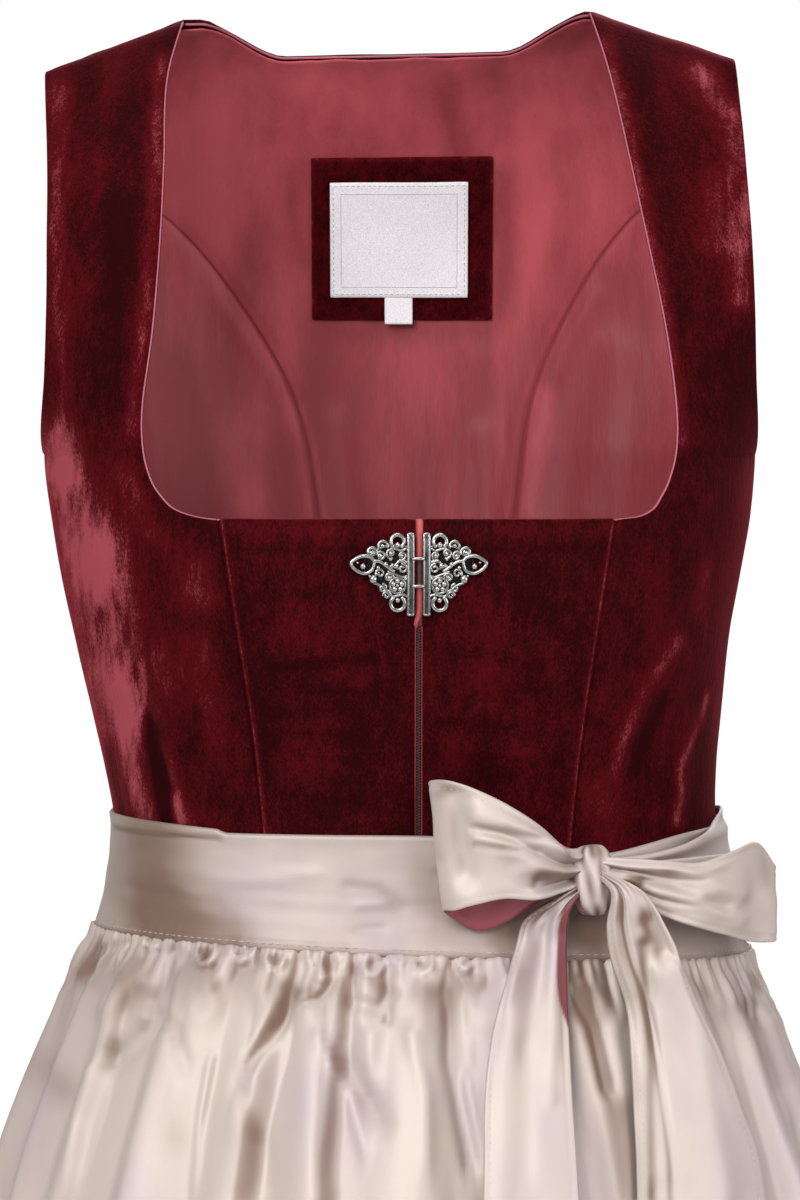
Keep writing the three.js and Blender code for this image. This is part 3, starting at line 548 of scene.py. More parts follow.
def satin_look(name, lit, shade, tint, metallic=0.12, roughness=0.5):
    """Satin painted between a lit and a shaded colour: its shading attribute is painted shade and highlight
    where its folds turn from or to the light, and rose is where its reverse shows.
    """
    look = Look(name, Roughness=roughness, Metallic=metallic, Specular_IOR_Level=0.55, Sheen_Weight=0.1,
                Sheen_Roughness=0.4, Sheen_Tint=(1.0, 0.94, 0.92, 1))
    painted_shading = look.vary(look.attribute("painted_shading"), (look.noise((17, 17, 8), 3.0, 0.5), 0.5))
    hues = look.noise((23, 23, 12), 2.0, 0.5)
    tinted = look.blend(look.ramp(hues, (0.42, black), (0.72, white)), lit, tint)
    shaded = look.blend(look.ramp(painted_shading, (0.0, black), (0.95, white)), tinted, shade)
    threads = look.noise((2600, 500, 1), 2.0, 0.6, source="UV")
    weft = look.noise((350, 3000, 1), 2.0, 0.6, source="UV")
    weave = look.maths("ADD", threads, weft)
    fine = look.blend(0.07, shaded, look.ramp(weave, (0.3, (0.5, 0.45, 0.43)), (0.7, white)), "MULTIPLY")
    # The reverse's rose colour is darkened by painted shade
    look.set("Base Color", look.blend(look.attribute("rose"), fine, (0.15, 0.022, 0.03)))
    crumple = look.noise((90, 90, 45), 3.0, 0.5)
    look.set("Normal", look.bump(weave, 0.00012, 0.4, look.bump(crumple, 0.001, 0.2)))
    return look.material


def lining_look(name, dark, light):
    look = Look(name, Roughness=0.5, Specular_IOR_Level=0.25, Sheen_Weight=0.08, Sheen_Tint=(1, 0.6, 0.6, 1))
    streaks = look.noise((55, 55, 13), 4.0, 0.6)
    fine = look.noise((1500, 1500, 220), 2.0, 0.6)
    value = look.vary(look.attribute("shade"), (streaks, 0.9), (fine, 0.25))
    look.set("Base Color", look.ramp(value, (0.1, dark), (0.9, light)))
    look.set("Normal", look.bump(fine, 0.0003, 0.3, look.bump(streaks, 0.003, 0.35)))
    return look.material


def thread_look(name, colour, roughness=0.6):
    look = Look(name, Roughness=roughness)
    twist = look.noise((1, 1, 1), 2.0, 0.6, 2200.0)
    look.set("Base Color", look.ramp(twist, (0.3, tuple(c * 0.72 for c in colour)), (0.7, colour)))
    look.set("Normal", look.bump(twist, 0.0002, 0.5))
    return look.material


def silver_look():
    """Antique silver: bright where it is worn, dark in its hollows."""
    look = Look("silver", Metallic=1.0)
    spots = look.noise((1, 1, 1), 3.0, 0.6, 420.0)
    pits = look.noise((1, 1, 1), 2.0, 0.6, 1800.0)
    depth = look.attribute("depth")
    value = look.maths("ADD", look.maths("MULTIPLY", spots, 0.5), look.maths("MULTIPLY", depth, 0.75))
    look.set("Base Color", look.ramp(value, (0.3, (0.02, 0.02, 0.019)), (1.0, (0.39, 0.382, 0.37))))
    look.set("Roughness", look.ramp(value, (0.2, (0.6, 0.6, 0.6)), (0.9, (0.2, 0.2, 0.2))))
    look.set("Normal", look.bump(pits, 0.00015, 0.4))
    return look.material


velvet = velvet_look("velvet", (0.017, 0.0005, 0.001), (0.066, 0.0019, 0.004), (0.31, 0.056, 0.071))
lining = lining_look("rose_lining", (0.225, 0.03, 0.038), (0.455, 0.074, 0.093))
# Each satin: a lit colour, a painted shade colour and a tint
champagne = satin_look("champagne_satin", (0.525, 0.441, 0.396), (0.172, 0.102, 0.073), (0.48, 0.395, 0.4))
rose_satin = satin_look("rose_satin", (0.25, 0.04, 0.053), (0.1, 0.013, 0.02), (0.28, 0.05, 0.065), 0.05, 0.5)
guard_red = satin_look("guard_red", (0.42, 0.058, 0.058), (0.06, 0.006, 0.008), (0.44, 0.075, 0.075), 0, 0.55)
label_white = thread_look("label_cloth", (0.97, 0.945, 0.98))
label_lilac = thread_look("label_lilac", (0.8, 0.68, 0.79))
slider_red = thread_look("slider_lacquer", (0.1, 0.006, 0.008), 0.35)
rose_thread = thread_look("rose_thread", (0.4, 0.1, 0.14))
satin_thread = thread_look("satin_thread", (0.62, 0.5, 0.46))
tape_red = thread_look("tape_red", (0.33, 0.014, 0.018))
zip_black = thread_look("zip_teeth", (0.055, 0.026, 0.028), 0.4)
silver = silver_look()


# Painted sheen and shade on the front's velvet, where its pile catches or loses the light: width, strength
# and path as x, z, x, z
front_painted_light = [
    (13, 0.44, -137, -188, -129, -204, -120, -226),
    (14, 0.42, -120, -222, -112, -242, -105, -262, -103, -284),
    (8, 0.3, -140, -192, -133, -232, -127, -262, -117, -300), (10, 0.2, -112, -256, -106, -288),
    (6, 0.5, -110, -282, -107, -312, -100, -336), (2.8, 0.4, -92.7, -303, -86, -332),
    (2.6, -0.36, -101, -290, -96.5, -308, -92.5, -332), (2.4, -0.14, -101, -252, -97, -284),
    (2, -0.14, -113, -236, -108, -258), (2, -0.12, -118, -256, -113, -276),
    (2, -0.25, -118, -304, -114, -330), (9, 0.2, -78, -262, -74, -300, -78, -330),
    (8, 0.24, -86.5, -220, -76.5, -240), (6, 0.24, -109, -188, -99, -212), (6, 0.3, -138, -176, -133, -192),
    (6, 0.3, -139, -30, -138, -97, -135, -172), (8, 0.12, -124, -60, -122, -110),
    (3.6, 0.32, -96, -18, -97, -77, -101, -131, -106, -172), (7, -0.1, -112, -40, -114, -120),
    (3.4, 0.3, 89, -10, 97, -43, 104, -85, 114, -135, 120, -176),
    (6.5, 0.4, 129, -22, 143, -43, 146, -77, 144, -118), (7, 0.22, 133, -70, 135, -95),
    (5, 0.1, 145, -189, 142, -218, 137, -251), (4, 0.2, 128.5, -228, 125, -246),
    (3.2, 0.2, 118, -258, 109, -269, 102, -281, 96, -296, 90, -312), (2.4, 0.1, 112, -274, 104, -292),
    (2.4, -0.14, 111, -281, 105, -294, 100, -310),
    (1.9, 0.46, 131, -281, 127.5, -293.5, 121.3, -304.6, 118, -313, 119, -320, 116.5, -334),
    (8, 0.16, 104, -300, 98, -334), (4, 0.18, 85.7, -276, 84, -284), (7, 0.24, 84, -318, 88, -342),
    (9, 0.1, 105, -224, 110, -257), (4, -0.25, 133, -300, 128, -334), (14, 0.12, -41, -250, -21, -265),
    (16, 0.08, 34, -258, 52, -300), (4, 0.1, -60, -212, 90, -212),
]
# Soft troughs and ridges of the velvet on the front, in the same form; strength is a lift
front_relief = [
    (5, -1.6, -118, -248, -107, -271, -100, -291, -91, -318), (3, -0.8, -117, -302, -112, -332),
    (3.5, 1.0, -92, -300, -84, -334), (8, 1.2, -124, -225, -112, -275), (6, -0.9, -80, -290, -74, -325),
    (4, 1.0, 122, -292, 118, -334), (6, -1.0, 104, -300, 101, -334), (2.6, -0.9, -48, -268, -8, -264),
    (2.6, -0.5, -50, -287, -14, -284), (3, 0.45, -47, -305, -20, -309), (2.6, -0.55, 22, -260, 60, -267),
    (2.4, -0.5, 30, -281, 64, -276), (2.8, 0.45, 26, -300, 56, -304), (2.4, -0.45, 18, -317, 50, -312),
    (1.6, -0.5, -34, -276, 2, -279), (1.6, -0.45, -44, -294, -12, -297), (1.5, 0.4, -24, -303, 4, -301),
    (1.7, -0.5, -40, -320, -10, -324), (1.6, 0.35, -20, -331, 5, -329), (1.6, -0.5, 20, -290, 48, -293),
    (1.6, -0.4, 40, -304, 70, -308), (1.7, 0.4, 20, -326, 44, -329), (1.6, -0.45, 30, -334, 66, -330),
    (1.8, -0.35, -52, -240, -20, -236), (1.8, -0.35, 38, -238, 74, -243),
    (3, 0.6, 118, -258, 109, -269, 102, -280, 95, -298), (2.6, -0.7, 112, -281, 105, -296, 100, -312),
    (1.6, -0.4, -66, -219.5, 6, -219.5), (1.6, -0.4, 17, -219.5, 88, -219.5),
]


def dense(*spans):
    """Heights in steps, from spans of (from, to, step)."""
    return np.concatenate([np.arange(*span) for span in spans] + [[spans[-1][1]]])


def facing_front(angle, full=0.35):
    """1 in front and 0 behind; full is the cosine of the angle up to which it is 1."""
    return smooth(-0.1, full, np.cos(np.radians(angle)))


def pile_and_sheen_at(x, z, angle):
    """Random pile patches, and on the front painted sheen and shade where the pile catches or loses the
    light.
    """
    hidden = 0.3 * noise(angle / 9, z / 70, 5) + 0.2 * noise(angle / 3.5, z / 26, 6)
    patches = 0.08 * noise(x / 13, z / 30, 7) + 0.05 * noise(x / 3.6, z / 8, 8)
    patches += 0.04 * noise(x / 1.7, z / 3.1, 9)
    lit = strokes(x, z, front_painted_light)
    streaky = 0.95 + 0.25 * noise(x / 2.6, z / 17, 13) + 0.2 * noise(x / 1.4, z / 6, 14)
    lit = np.where(lit > 0, lit * streaky, lit)
    return 0.2 + patches + mix(0.12 + hidden, lit, facing_front(angle))


def seam_angle(rows, height, t, side, half, shift):
    x = at_height(rows, side, height) + shift
    return front_angle(x, t) if half == "front" else 180 - front_angle(x, t)


def panel_grid(heights, columns, edges, sewn):
    """Angles and rows between a panel's two edges, from its first angle on, and which edges are seams."""
    t = row_at(sections, heights)
    first, last = edges(heights, t)
    if first.mean() > last.mean():
        first, last, sewn = last, first, sewn[::-1]
    angle = first[:, None] + (last - first)[:, None] * np.linspace(0, 1, columns + 1)
    return angle, np.repeat(t[:, None], columns + 1, 1), sewn


def seam_marks(flat, sewn, *marks):
    """The distance from a panel's nearest edge and, for each mark, the sum of rise * bell(distance - centre,
    width) for the edges that are seams. A mark is rows of rise, centre and width."""
    first = lengths_along(flat, 1)
    distances = first, first[:, -1:] - first
    seams = [distance for distance, is_seam in zip(distances, sewn) if is_seam]
    sums = [sum(rise * bell(distance - centre, width) for distance in seams for rise, centre, width in mark)
            for mark in marks]
    return np.minimum(*distances), *sums


def velvet_wall(name, angle, rows, sewn, thickness, looks):
    """A panel of velvet, drawn in at its seams, with a painted highlight beside each seam and painted shade
    in it.
    """
    flat = form(angle, rows)
    x, z = flat[..., 0], flat[..., 2]
    away, dip, seam_highlight_and_shade = seam_marks(flat, sewn, [(-1, 0, 1.5)], [(0.42, 2.1, 0.9), (-0.35, 0, 1)])
    facing = facing_front(angle)
    relief = strokes(x, z, front_relief) * facing
    relief += 0.25 * noise(x / 14, z / 21, 11) + 0.9 * noise(angle / 8, rows, 12) * (1 - facing)
    relief *= smooth(0, 6, away)
    # Painted sheen on the relief's ridges and painted shade in its troughs
    pile_and_sheen = pile_and_sheen_at(x, z, angle) + seam_highlight_and_shade + 0.16 * relief * facing
    return shell(name, place(angle, rows, dip + relief), thickness, looks, {"pile_and_sheen": pile_and_sheen})


velvet_faced = [velvet, lining]
side_sign = {"right": -1, "left": 1}
front_centre_columns = 60
front_side_columns = 64
back_side_columns = 44
lining_side_columns = 50
lower_heights = dense((waist + seam / 2, -214, 2.5), (-214, front_neck, 1.0))
corner_heights = dense((front_neck, -199, 0.5), (-199, -182, 1.0), (-182, -10, 2.4), (-10, 0, 0.7))


def front_centre(side):
    out = side_sign[side]

    def edges(height, t):
        inner = np.full(len(height), zip_x + out * zip_opening / 2)
        return front_angle(inner, t), seam_angle(front_seam, height, t, side, "front", -out * seam / 2)

    grid = panel_grid(lower_heights, front_centre_columns, edges, (False, True))
    return velvet_wall(f"front_centre_{side}_cloth", *grid, faced_cloth, velvet_faced)


def front_side(side):
    out = side_sign[side]

    def edges(height, t):
        lower = at_height(front_seam, side, np.minimum(height, front_neck))
        upper = at_height(neck_edge, side, np.maximum(height, front_neck))
        x = np.where(height <= front_neck, lower, upper) + out * seam / 2
        return front_angle(x, t), out * (arm_angle(height) - gap_angle(t, seam / 2))

    heights = np.concatenate([lower_heights[:-1], corner_heights])
    grid = panel_grid(heights, front_side_columns, edges, (False, False))
    return velvet_wall(f"front_side_{side}_cloth", *grid, faced_cloth, velvet_faced)


def back_arm(height, out, inset):
    return 180 - out * (arm_angle(height) - np.where(height > underarm, 1, 0) - inset)


side_heights = dense((waist + seam / 2, side_top, 3.2))
back_columns = 80
rows_above = 34  # of the back's middle panel, between its seams' ends and the neck edge


def back_side_edges(side, inset):
    out = side_sign[side]

    def edges(height, t):
        arm = back_arm(height, out, gap_angle(t, seam / 2 + inset))
        return arm, seam_angle(back_seam, height, t, side, "back", out * seam / 2)

    return edges


def back_side(side):
    grid = panel_grid(side_heights, back_side_columns, back_side_edges(side, 0), (False, True))
    return velvet_wall(f"back_side_{side}_cloth", *grid, cloth, [velvet])


def back_neck_at(x):
    away = np.abs(x - back_neck["centre"])
    return back_neck["height"] * (1 - smooth(back_neck["level_half"], back_neck["rise_half"], away))


def back_centre_grid(inset):
    """Angles and rows of the back's middle panel, whose top follows the neck edge, and that both its edges
    are seams."""
    s = np.linspace(0, 1, back_columns + 1)

    def edge(height, t, side):
        out = side_sign[side]
        on_arm = back_arm(height, out, gap_angle(t, seam / 2 + inset))
        on_seam = seam_angle(back_seam, height, t, side, "back", -out * seam / 2)
        return np.where(height > side_top + 0.01, on_arm, on_seam)

    def angles(t):
        height = column(sections, "height", t)
        return mix(edge(height, t, "left"), edge(height, t, "right"), s)

    rows = [np.full(back_columns + 1, t) for t in row_at(sections, side_heights)]
    start = rows[-1][0]
    for share in np.arange(1, rows_above + 1) / rows_above:
        t = np.full(back_columns + 1, start)
        for _ in range(6):
            x = form(angles(t), t)[..., 0]
            t = mix(start, row_at(sections, back_neck_at(x)), share)
        rows.append(t)
    return np.array([angles(t) for t in rows]), np.array(rows), (True, True)


# Lining inside the back: where painted light and shade make it lighter or darker, and its soft folds beside
# the seams
lining_outside = -(cloth + layer)
lining_inside = lining_outside - lining_cloth
patch_left, patch_right, patch_low, patch_high = -34.4, 43.7, -124.8, -55.3
lining_shade = [
    (17, -0.36, 97, -113, 100, -166, 85, -212), (12, -0.32, -94, -150, -88, -204),
    (6, -0.26, 24, -18, 28, -52), (6, -0.24, -42, -62, -40, -98), (6, -0.2, 50, -62, 49, -120),
    (5, -0.16, -30, -131, 40, -131), (7, -0.1, -60, -30, -58, -90), (20, 0.3, -83, -44, -80, -70),
    (12, 0.16, 60, -40, 64, -80), (13, 0.3, -68, -174, -63, -204), (6, 0.36, 68, -159, 62, -209),
    (5, 0.3, -42, -166, -33, -211), (14, 0.14, 5, -150, 8, -205),
]
lining_relief = [
    (5.5, -1.0, -74, -118, -50, -150, -38, -180, -33, -212), (5.5, -1.0, 88, -116, 66, -158, 59, -211),
    (5, -1.3, -22, -170, -18, -214), (5, -1.3, 40, -176, 43, -214), (9, -1.8, 99, -140, 88, -210),
    (8, -1.6, -92, -160, -84, -208), (5, -1.0, 24, -20, 27, -52), (7, -1.0, -58, -40, -56, -96),
    (1.3, 0.6, 3, -130, 3, -139),
]


def patch_edge(x, z):
    """Distance inwards from the label patch's nearest edge."""
    return np.minimum.reduce([x - patch_left, patch_right - x, z - patch_low, patch_high - z])


def lining_wall(name, angle, rows, sewn):
    """A panel of the back's lining, with soft folds that flatten under the label patch."""
    flat = form(angle, rows)
    x, z = flat[..., 0], flat[..., 2]
    away, tuck, dark = seam_marks(flat, sewn, [(0.35, 0, 1.6)], [(0.5, 0, 1), (-0.08, 2.6, 1.2)])
    folds = strokes(x, z, lining_relief) - 0.55 * (1 + noise(x / 11, z / 60, 21))
    folds -= 0.25 * (1 + noise(x / 5, z / 30, 22))
    folds *= smooth(0, 8, away) * mix(0.3, 1, smooth(2, 16, -patch_edge(x, z)))
    lift = np.minimum(lining_outside - 0.35 + folds + tuck, lining_outside)
    # Painted shade, darker towards the bottom, with the strokes' painted light and shade and a painted
    # highlight beside each seam
    shade = 0.5 - 0.3 * smooth(-90, -190, z) + strokes(x, z, lining_shade)
    shade += 0.14 * noise(x / 15, z / 50, 23) - dark
    return shell(name, place(angle, rows, lift), lining_cloth, [lining], {"shade": shade})


def patch(name, on, across, up, lift, thickness, look, node=None, values=None):
    """A piece that lies on the form. across and up are (from, to, points), and lift(x, z) is how far its
    outer face stands above the form."""
    x, z = np.meshgrid(np.linspace(*across), np.linspace(*up))
    if on is on_back:
        x = x[:, ::-1]
    return shell(name, on(x, z, lift(x, z)), thickness, [look], values(x, z) if values else {}, node)


patch_outside = lining_inside - layer
label_outside = patch_outside - lining_cloth - layer
label_thickness = 0.7
label_left, label_right, label_low, label_high = -26.6, 33.3, -114.8, -64.9
tag_left, tag_right, tag_low = -2.7, 9, -126.6


def labels():
    """A velvet patch with a blank label and a blank size tag."""
    def patch_lift(x, z):
        raised = 0.3 + 0.6 * smooth(0, 3, patch_edge(x, z)) + 0.3 * (1 + noise(x / 9, z / 9, 31))
        return patch_outside - raised

    def patch_pile_and_sheen(x, z):
        # Random pile, with a painted highlight along the patch's edge
        return {"pile_and_sheen": 0.27 + 0.1 * noise(x / 4, z / 4, 33) + 0.2 * bell(patch_edge(x, z), 1.2)}

    def label_lift(x, z):
        return label_outside - 1.3 - 0.35 * (1 + np.sin(x / 9)) - 0.25 * (1 + noise(x / 12, z / 12, 32))

    def tag_lift(x, z):
        return label_outside - 1.5 - 0.12 * (label_low - z)

    def lines(inset, end, across, up, raised):
        """Lines along the label's four edges, with so many points across and up."""
        x = np.linspace(label_left + end, label_right - end, across)
        z = np.linspace(label_low + end, label_high - end, up)
        level = [(x, edge) for edge in (label_low + inset, label_high - inset)]
        upright = [(edge, z) for edge in (label_left + inset, label_right - inset)]
        return [on_back(*line, label_lift(*line) - raised) for line in level + upright]

    border = Trim()
    for line in lines(4.5, 4.5, 30, 24, 0.75):
        border.tube(line, 0.2, 5)
    sewing = Trim()
    for line in lines(1.2, 0.8, 40, 40, 0.72):
        sewing.stitches(line, 1.5, 0.9, 0.2)
    return [
        patch("label_patch_cloth", on_back, (patch_left, patch_right, 45), (patch_low, patch_high, 41),
              patch_lift, lining_cloth, velvet, values=patch_pile_and_sheen),
        patch("label_cloth_blank", on_back, (label_left, label_right, 41), (label_low, label_high, 37),
              label_lift, label_thickness, label_white, "label"),
        patch("size_tag_blank", on_back, (tag_left, tag_right, 15), (tag_low, label_low - seam, 14),
              tag_lift, label_thickness, label_white, "size_tag"),
        border.build("label_border", label_lilac, "label_cloth"),
        sewing.build("label_stitches", satin_thread, "label_cloth"),
    ]


# Zip, its guard and the neckline's edge
zip_outside = -(faced_cloth + layer)
guard_outside = zip_outside - lining_cloth - layer
zip_half = 13
guard_half = 16
tooth_pitch = 1.15
tooth_size = (1.05, 0.75, 0.33)  # half width, half depth and half height
tape_edge = 1.5


def closure():
    """Zip tapes with two rows of teeth, and the guard, which bulges forward above the zip."""
    x, share = np.meshgrid(np.linspace(zip_x - guard_half, zip_x + guard_half, 65), np.linspace(0, 1, 72))
    z = mix(waist + 1, front_neck - 0.9 + 1.2 * np.exp(-(((x - zip_x) / 2.4) ** 4)), share)
    low = smooth(zip_top + 7, zip_top, z)
    across = (x - zip_x - mix(0.5, -1.4, low)) / mix(2.1, 1.2, low)
    lift = guard_outside + 4.5 * np.exp(-(across**4)) * smooth(zip_top - 3, zip_top + 1, z)
    # Painted shade where the guard lies under the clasp between its hooks and below the zip's top, and a
    # painted highlight at its top edge
    hidden = smooth(-222, -224.5, z) * smooth(-235.5, -233, z) + 0.5 * smooth(zip_top + 4, zip_top, z)
    painted_shading = 0.95 * hidden - 0.6 * smooth(front_neck - 1.6, front_neck, z)
    teeth = Trim()
    for k, height in enumerate(np.arange(waist + 2, zip_top - 1, tooth_pitch / 2)):
        aside = 0.45 if k % 2 else -0.45
        teeth.bead(on_front(zip_x + aside, height, zip_outside + 0.8), tooth_size, 6, 4)
    edges = Trim()
    for out in (-1, 1):
        edges.tube(on_front(zip_x + out * tape_edge, np.linspace(waist + 1, zip_top, 60), -0.9), 0.42, 6)
    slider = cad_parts["zip_slider"]
    slider.data.materials.clear()
    slider.data.materials.append(slider_red)
    return [
        patch("zip_tape", on_front, (zip_x - zip_half, zip_x + zip_half, 27), (waist + 1, zip_top, 50),
              lambda x, z: zip_outside, lining_cloth, tape_red, "zip"),
        shell("zip_guard_cloth", on_front(x, z, lift), lining_cloth, [guard_red],
              {"painted_shading": painted_shading}),
        teeth.build("zip_teeth", zip_black, "zip_teeth"),
        edges.build("zip_edges", tape_red, "guard_cloth"),
    ]


def neck_line():
    """The fine rose edge that shows all round the neck."""
    edge = Trim()
    t = row_at(neck_edge, dense((front_neck, -199, 0.4), (-199, -180, 1.0), (-180, -4, 3), (-4, 0, 0.5)))
    for side, out in side_sign.items():
        x = column(neck_edge, side, t) - out * 0.1
        edge.tube(on_front(x, column(neck_edge, "height", t), -0.75), 0.52, 6)
        x = np.linspace(zip_x + out * 3, at_height(neck_edge, side, front_neck), 60)
        edge.tube(on_front(x, front_neck + 0.05, -0.9 + 0.15 * noise(x / 8, x * 0, 41)), 0.4, 6)
    x = np.linspace(-87, 84, 90)
    edge.tube(on_back(x, back_neck_at(x), -1.6), 0.6, 6)
    return edge.build("neck_edge_line", rose_thread, "lining")


# Clasp: each half is drawn flat on the wearer's left, as (away from the zip, up), and laid on the form
clasp_height = -229.5
clasp_lift = 0.8
bar_half = 16
hook_places = (6.2, -4.6)
hook_path = ((-2.6, 1.9), (-1.2, 2.1), (0.8, 2.1), (1.9, 1.9), (2.6, 1.2))
web_outline = ((3.4, -10), (9, -8.3), (13.5, -8), (18, -3), (20, 0), (22, 2), (20.5, 8), (14, 12), (8.5, 10),
               (3.4, 12))
# Upright bars: place from the zip, radius, depth, sides, and how much shorter each end is
clasp_bars = (
    (2.2, 0.6, 1.1, 8, 0), (4.3, 0.68, 1.2, 8, 0), (2.9, 0.6, 0.75, 6, 0.3), (3.6, 0.6, 0.75, 6, 0.3),
)


def arc(centre, radius, start, end, count=24):
    turn = np.radians(np.linspace(start, end, count))
    return np.stack([centre[0] + radius * np.cos(turn), centre[1] + radius * np.sin(turn)], 1)


def curl(centre, radius, start, turns, count=40):
    """A scroll that winds inwards."""
    s = np.linspace(0, 1, count)
    turn = np.radians(start + 360 * turns * s)
    reach = radius * (1 - 0.72 * s)
    return np.stack([centre[0] + reach * np.cos(turn), centre[1] + reach * np.sin(turn)], 1)


def bend(points, count=24):
    """A smooth curve through a few points."""
    rows = table("a b", *points)
    t = np.linspace(0, len(points) - 1, count)
    return np.stack([column(rows, "a", t), column(rows, "b", t)], 1)


def inside_outline(outline, x, z):
    inside = np.zeros(np.shape(x), bool)
    for (x1, z1), (x2, z2) in zip(outline, outline[1:] + outline[:1]):
        crosses = (z1 > z) != (z2 > z)
        inside ^= crosses & (x < (x2 - x1) * (z - z1) / (z2 - z1 + 1e-12) + x1)
    return inside


# Wires of one half: path, radius and depth of its middle
clasp_wires = [
    (arc((8.6, 13.0), 2.6, -55, 235), 0.95, 1.3),
    (arc((14.4, 11.2), 1.9, -30, 200), 0.7, 1.2),
    (curl((19.0, 8.7), 2.2, 200, -1.2), 0.72, 1.3),
    (arc((8.5, -11.4), 2.8, -235, 55), 0.95, 1.3),
    (arc((8.6, -4.4), 3.1, 0, 360), 0.66, 1.1),
    (curl((14.6, -5.4), 1.7, 90, 1.1), 0.62, 1.25),
    (curl((13.0, -8.3), 1.5, 0, 1.1), 0.6, 1.15),
    (curl((11.3, 8.3), 2.0, 250, 1.2), 0.6, 1.25),
    (curl((6.9, 7.4), 1.8, 300, -1.2), 0.58, 1.2),
    (curl((15.3, 7.3), 1.9, 20, 1.2), 0.6, 1.25),
    (curl((6.6, 2.4), 1.9, 80, 1.2), 0.6, 1.25),
    (curl((12.0, -1.2), 1.9, 200, -1.2), 0.6, 1.3),
    (curl((15.6, 0.4), 1.9, 330, 1.2), 0.58, 1.2),
    (bend(((11.3, 10.2), (9.0, 10.0), (7.0, 9.4), (5.2, 10.2))), 0.62, 1.35),
    (bend(((5.0, 4.9), (8.0, 5.2), (9.4, 3.4), (11.6, 3.2))), 0.66, 1.45),
    (bend(((17.9, 5.3), (15.4, 4.9), (13.2, 3.4), (10, 1.2))), 0.75, 1.5),
    (bend(((4.6, -8.6), (6.6, -8.0), (10.6, -8.6), (12.2, -6.2))), 0.6, 1.25),
    (bend(((5, 11.0), (8.0, 11.2), (11.6, 11.4), (16.2, 10.0), (18.0, 7.4))), 0.6, 1.0),
    (bend(((12.4, -6.6), (15.8, -4.2), (18.2, -3.2), (19.8, -0.4))), 0.66, 1.05),
    (bend(((4.8, -0.6), (6.6, -1.0), (9.8, 0.2), (12.4, 1.2))), 0.5, 1.3),
]
teardrop = (
    (17.7, 4.9), (19.4, 6.8), (22.6, 7.2), (25.4, 6.1), (27.2, 4.2), (25, 1.6), (21.8, 0.4), (18.9, 1.7),
)
# Beads: centre, radius and depth
clasp_beads = [
    ((8.6, 11.6), 1.2, 1.5), ((19.2, 8.4), 1.0, 1.7), ((22.4, 3.2), 1.25, 1.5), ((18.3, -1.9), 1.75, 1.3),
    ((11.3, 8.3), 0.9, 1.6), ((9.3, 3.4), 1.25, 1.7), ((13.3, 3.9), 1.1, 1.7), ((8.5, -10.2), 1.1, 1.5),
    ((8.6, -2.6), 1.15, 1.6), ((10.3, -3.8), 1.15, 1.6), ((9.7, -5.8), 1.15, 1.6), ((7.5, -5.8), 1.15, 1.6),
    ((6.9, -3.8), 1.15, 1.6), ((8.6, -4.4), 0.7, 1.9), ((5.6, 4.9), 0.9, 1.4), ((5.3, -1.6), 0.9, 1.4),
    ((14.6, 11.2), 0.9, 1.5), ((16.3, 2.6), 0.9, 1.5), ((17.2, 0.2), 0.8, 1.4), ((12.0, -1.2), 0.8, 1.7),
    ((11.4, 6.0), 0.8, 1.5), ((6.9, 7.4), 0.8, 1.5), ((15.3, 7.3), 0.8, 1.6), ((24.6, 4.6), 0.6, 1.2),
]


def clasp_half(side):
    out = side_sign[side]
    made = Trim()

    def flat(path, depth):
        path = np.asarray(path, float)
        return np.stack([path[:, 0] * out, np.full(len(path), -depth), path[:, 1]], 1)

    for away, radius, depth, sides, shorter in clasp_bars:
        up = np.linspace(shorter - bar_half, bar_half - shorter, 30)
        made.tube(flat(np.stack([0 * up + away, up], 1), depth), radius, sides)
    for up in (-bar_half, bar_half):
        made.tube(flat(((2.2, up), (3.2, up), (4.3, up)), 1.15), 0.6, 8)
    for path, radius, depth in clasp_wires:
        closed = np.hypot(*(path[0] - path[-1])) < 0.01
        made.tube(flat(path[:-1] if closed else path, depth), radius, 8, closed)
    made.tube(flat(bend(teardrop + teardrop[:1], 56)[:-1], 1.25), 0.85, 8, True)
    for centre, radius, depth in clasp_beads:
        made.bead(flat((centre,), depth)[0], (radius, radius * 0.8, radius), 12, 7)
    leaf = math.radians(-35) * out
    turn = np.array([[math.cos(leaf), 0, -math.sin(leaf)], [0, 1, 0], [math.sin(leaf), 0, math.cos(leaf)]])
    made.bead(flat(((9.6, 3.1),), 1.2)[0], (2.2, 0.5, 0.8), 12, 7, turn)
    for slant, first_shift in ((-1, 0), (1, -12)):
        for shift in np.arange(-16, 40, 1.25):
            x = np.linspace(3, 23, 160)
            z = (x - 3) * slant + (shift + first_shift)
            keep = inside_outline(web_outline, x, z)
            runs = np.flatnonzero(np.diff(np.concatenate([[0], keep.astype(int), [0]])))
            for first, last in zip(runs[::2], runs[1::2]):
                if last - first > 6:
                    path = np.stack([x[first:last], z[first:last]], 1)[:: max(1, (last - first) // 8)]
                    made.tube(flat(path, 0.45), 0.36, 5)
    made.tube(flat(bend(web_outline + web_outline[:1], 90)[:-1], 0.6), 0.42, 6, True)
    for up in hook_places if side == "right" else ():
        made.tube([(away, -depth, up) for away, depth in hook_path], 0.62, 8)
    whole = np.concatenate(made.vertices)
    depth = -whole[:, 1]
    made.vertices = [on_front(zip_x + whole[:, 0], clasp_height + whole[:, 2], clasp_lift + depth)]
    shine = smooth(0.7, 2.2, depth)
    return made.build(f"clasp_{side}_silver", silver, "clasp_silver", f"clasp_{side}", {"depth": shine})


# Skirt
skirt_fold_count = 20
skirt_folds = table("height depth", (-1015, 27), (-800, 22), (-600, 15), (-480, 8), (-410, 3.5), (-364, 1))
skirt_heights = dense((skirt_hem, -985, 4), (-985, -480, 11), (-480, -400, 5), (-400, waist - seam / 2, 2.4))
skirt_columns = 124


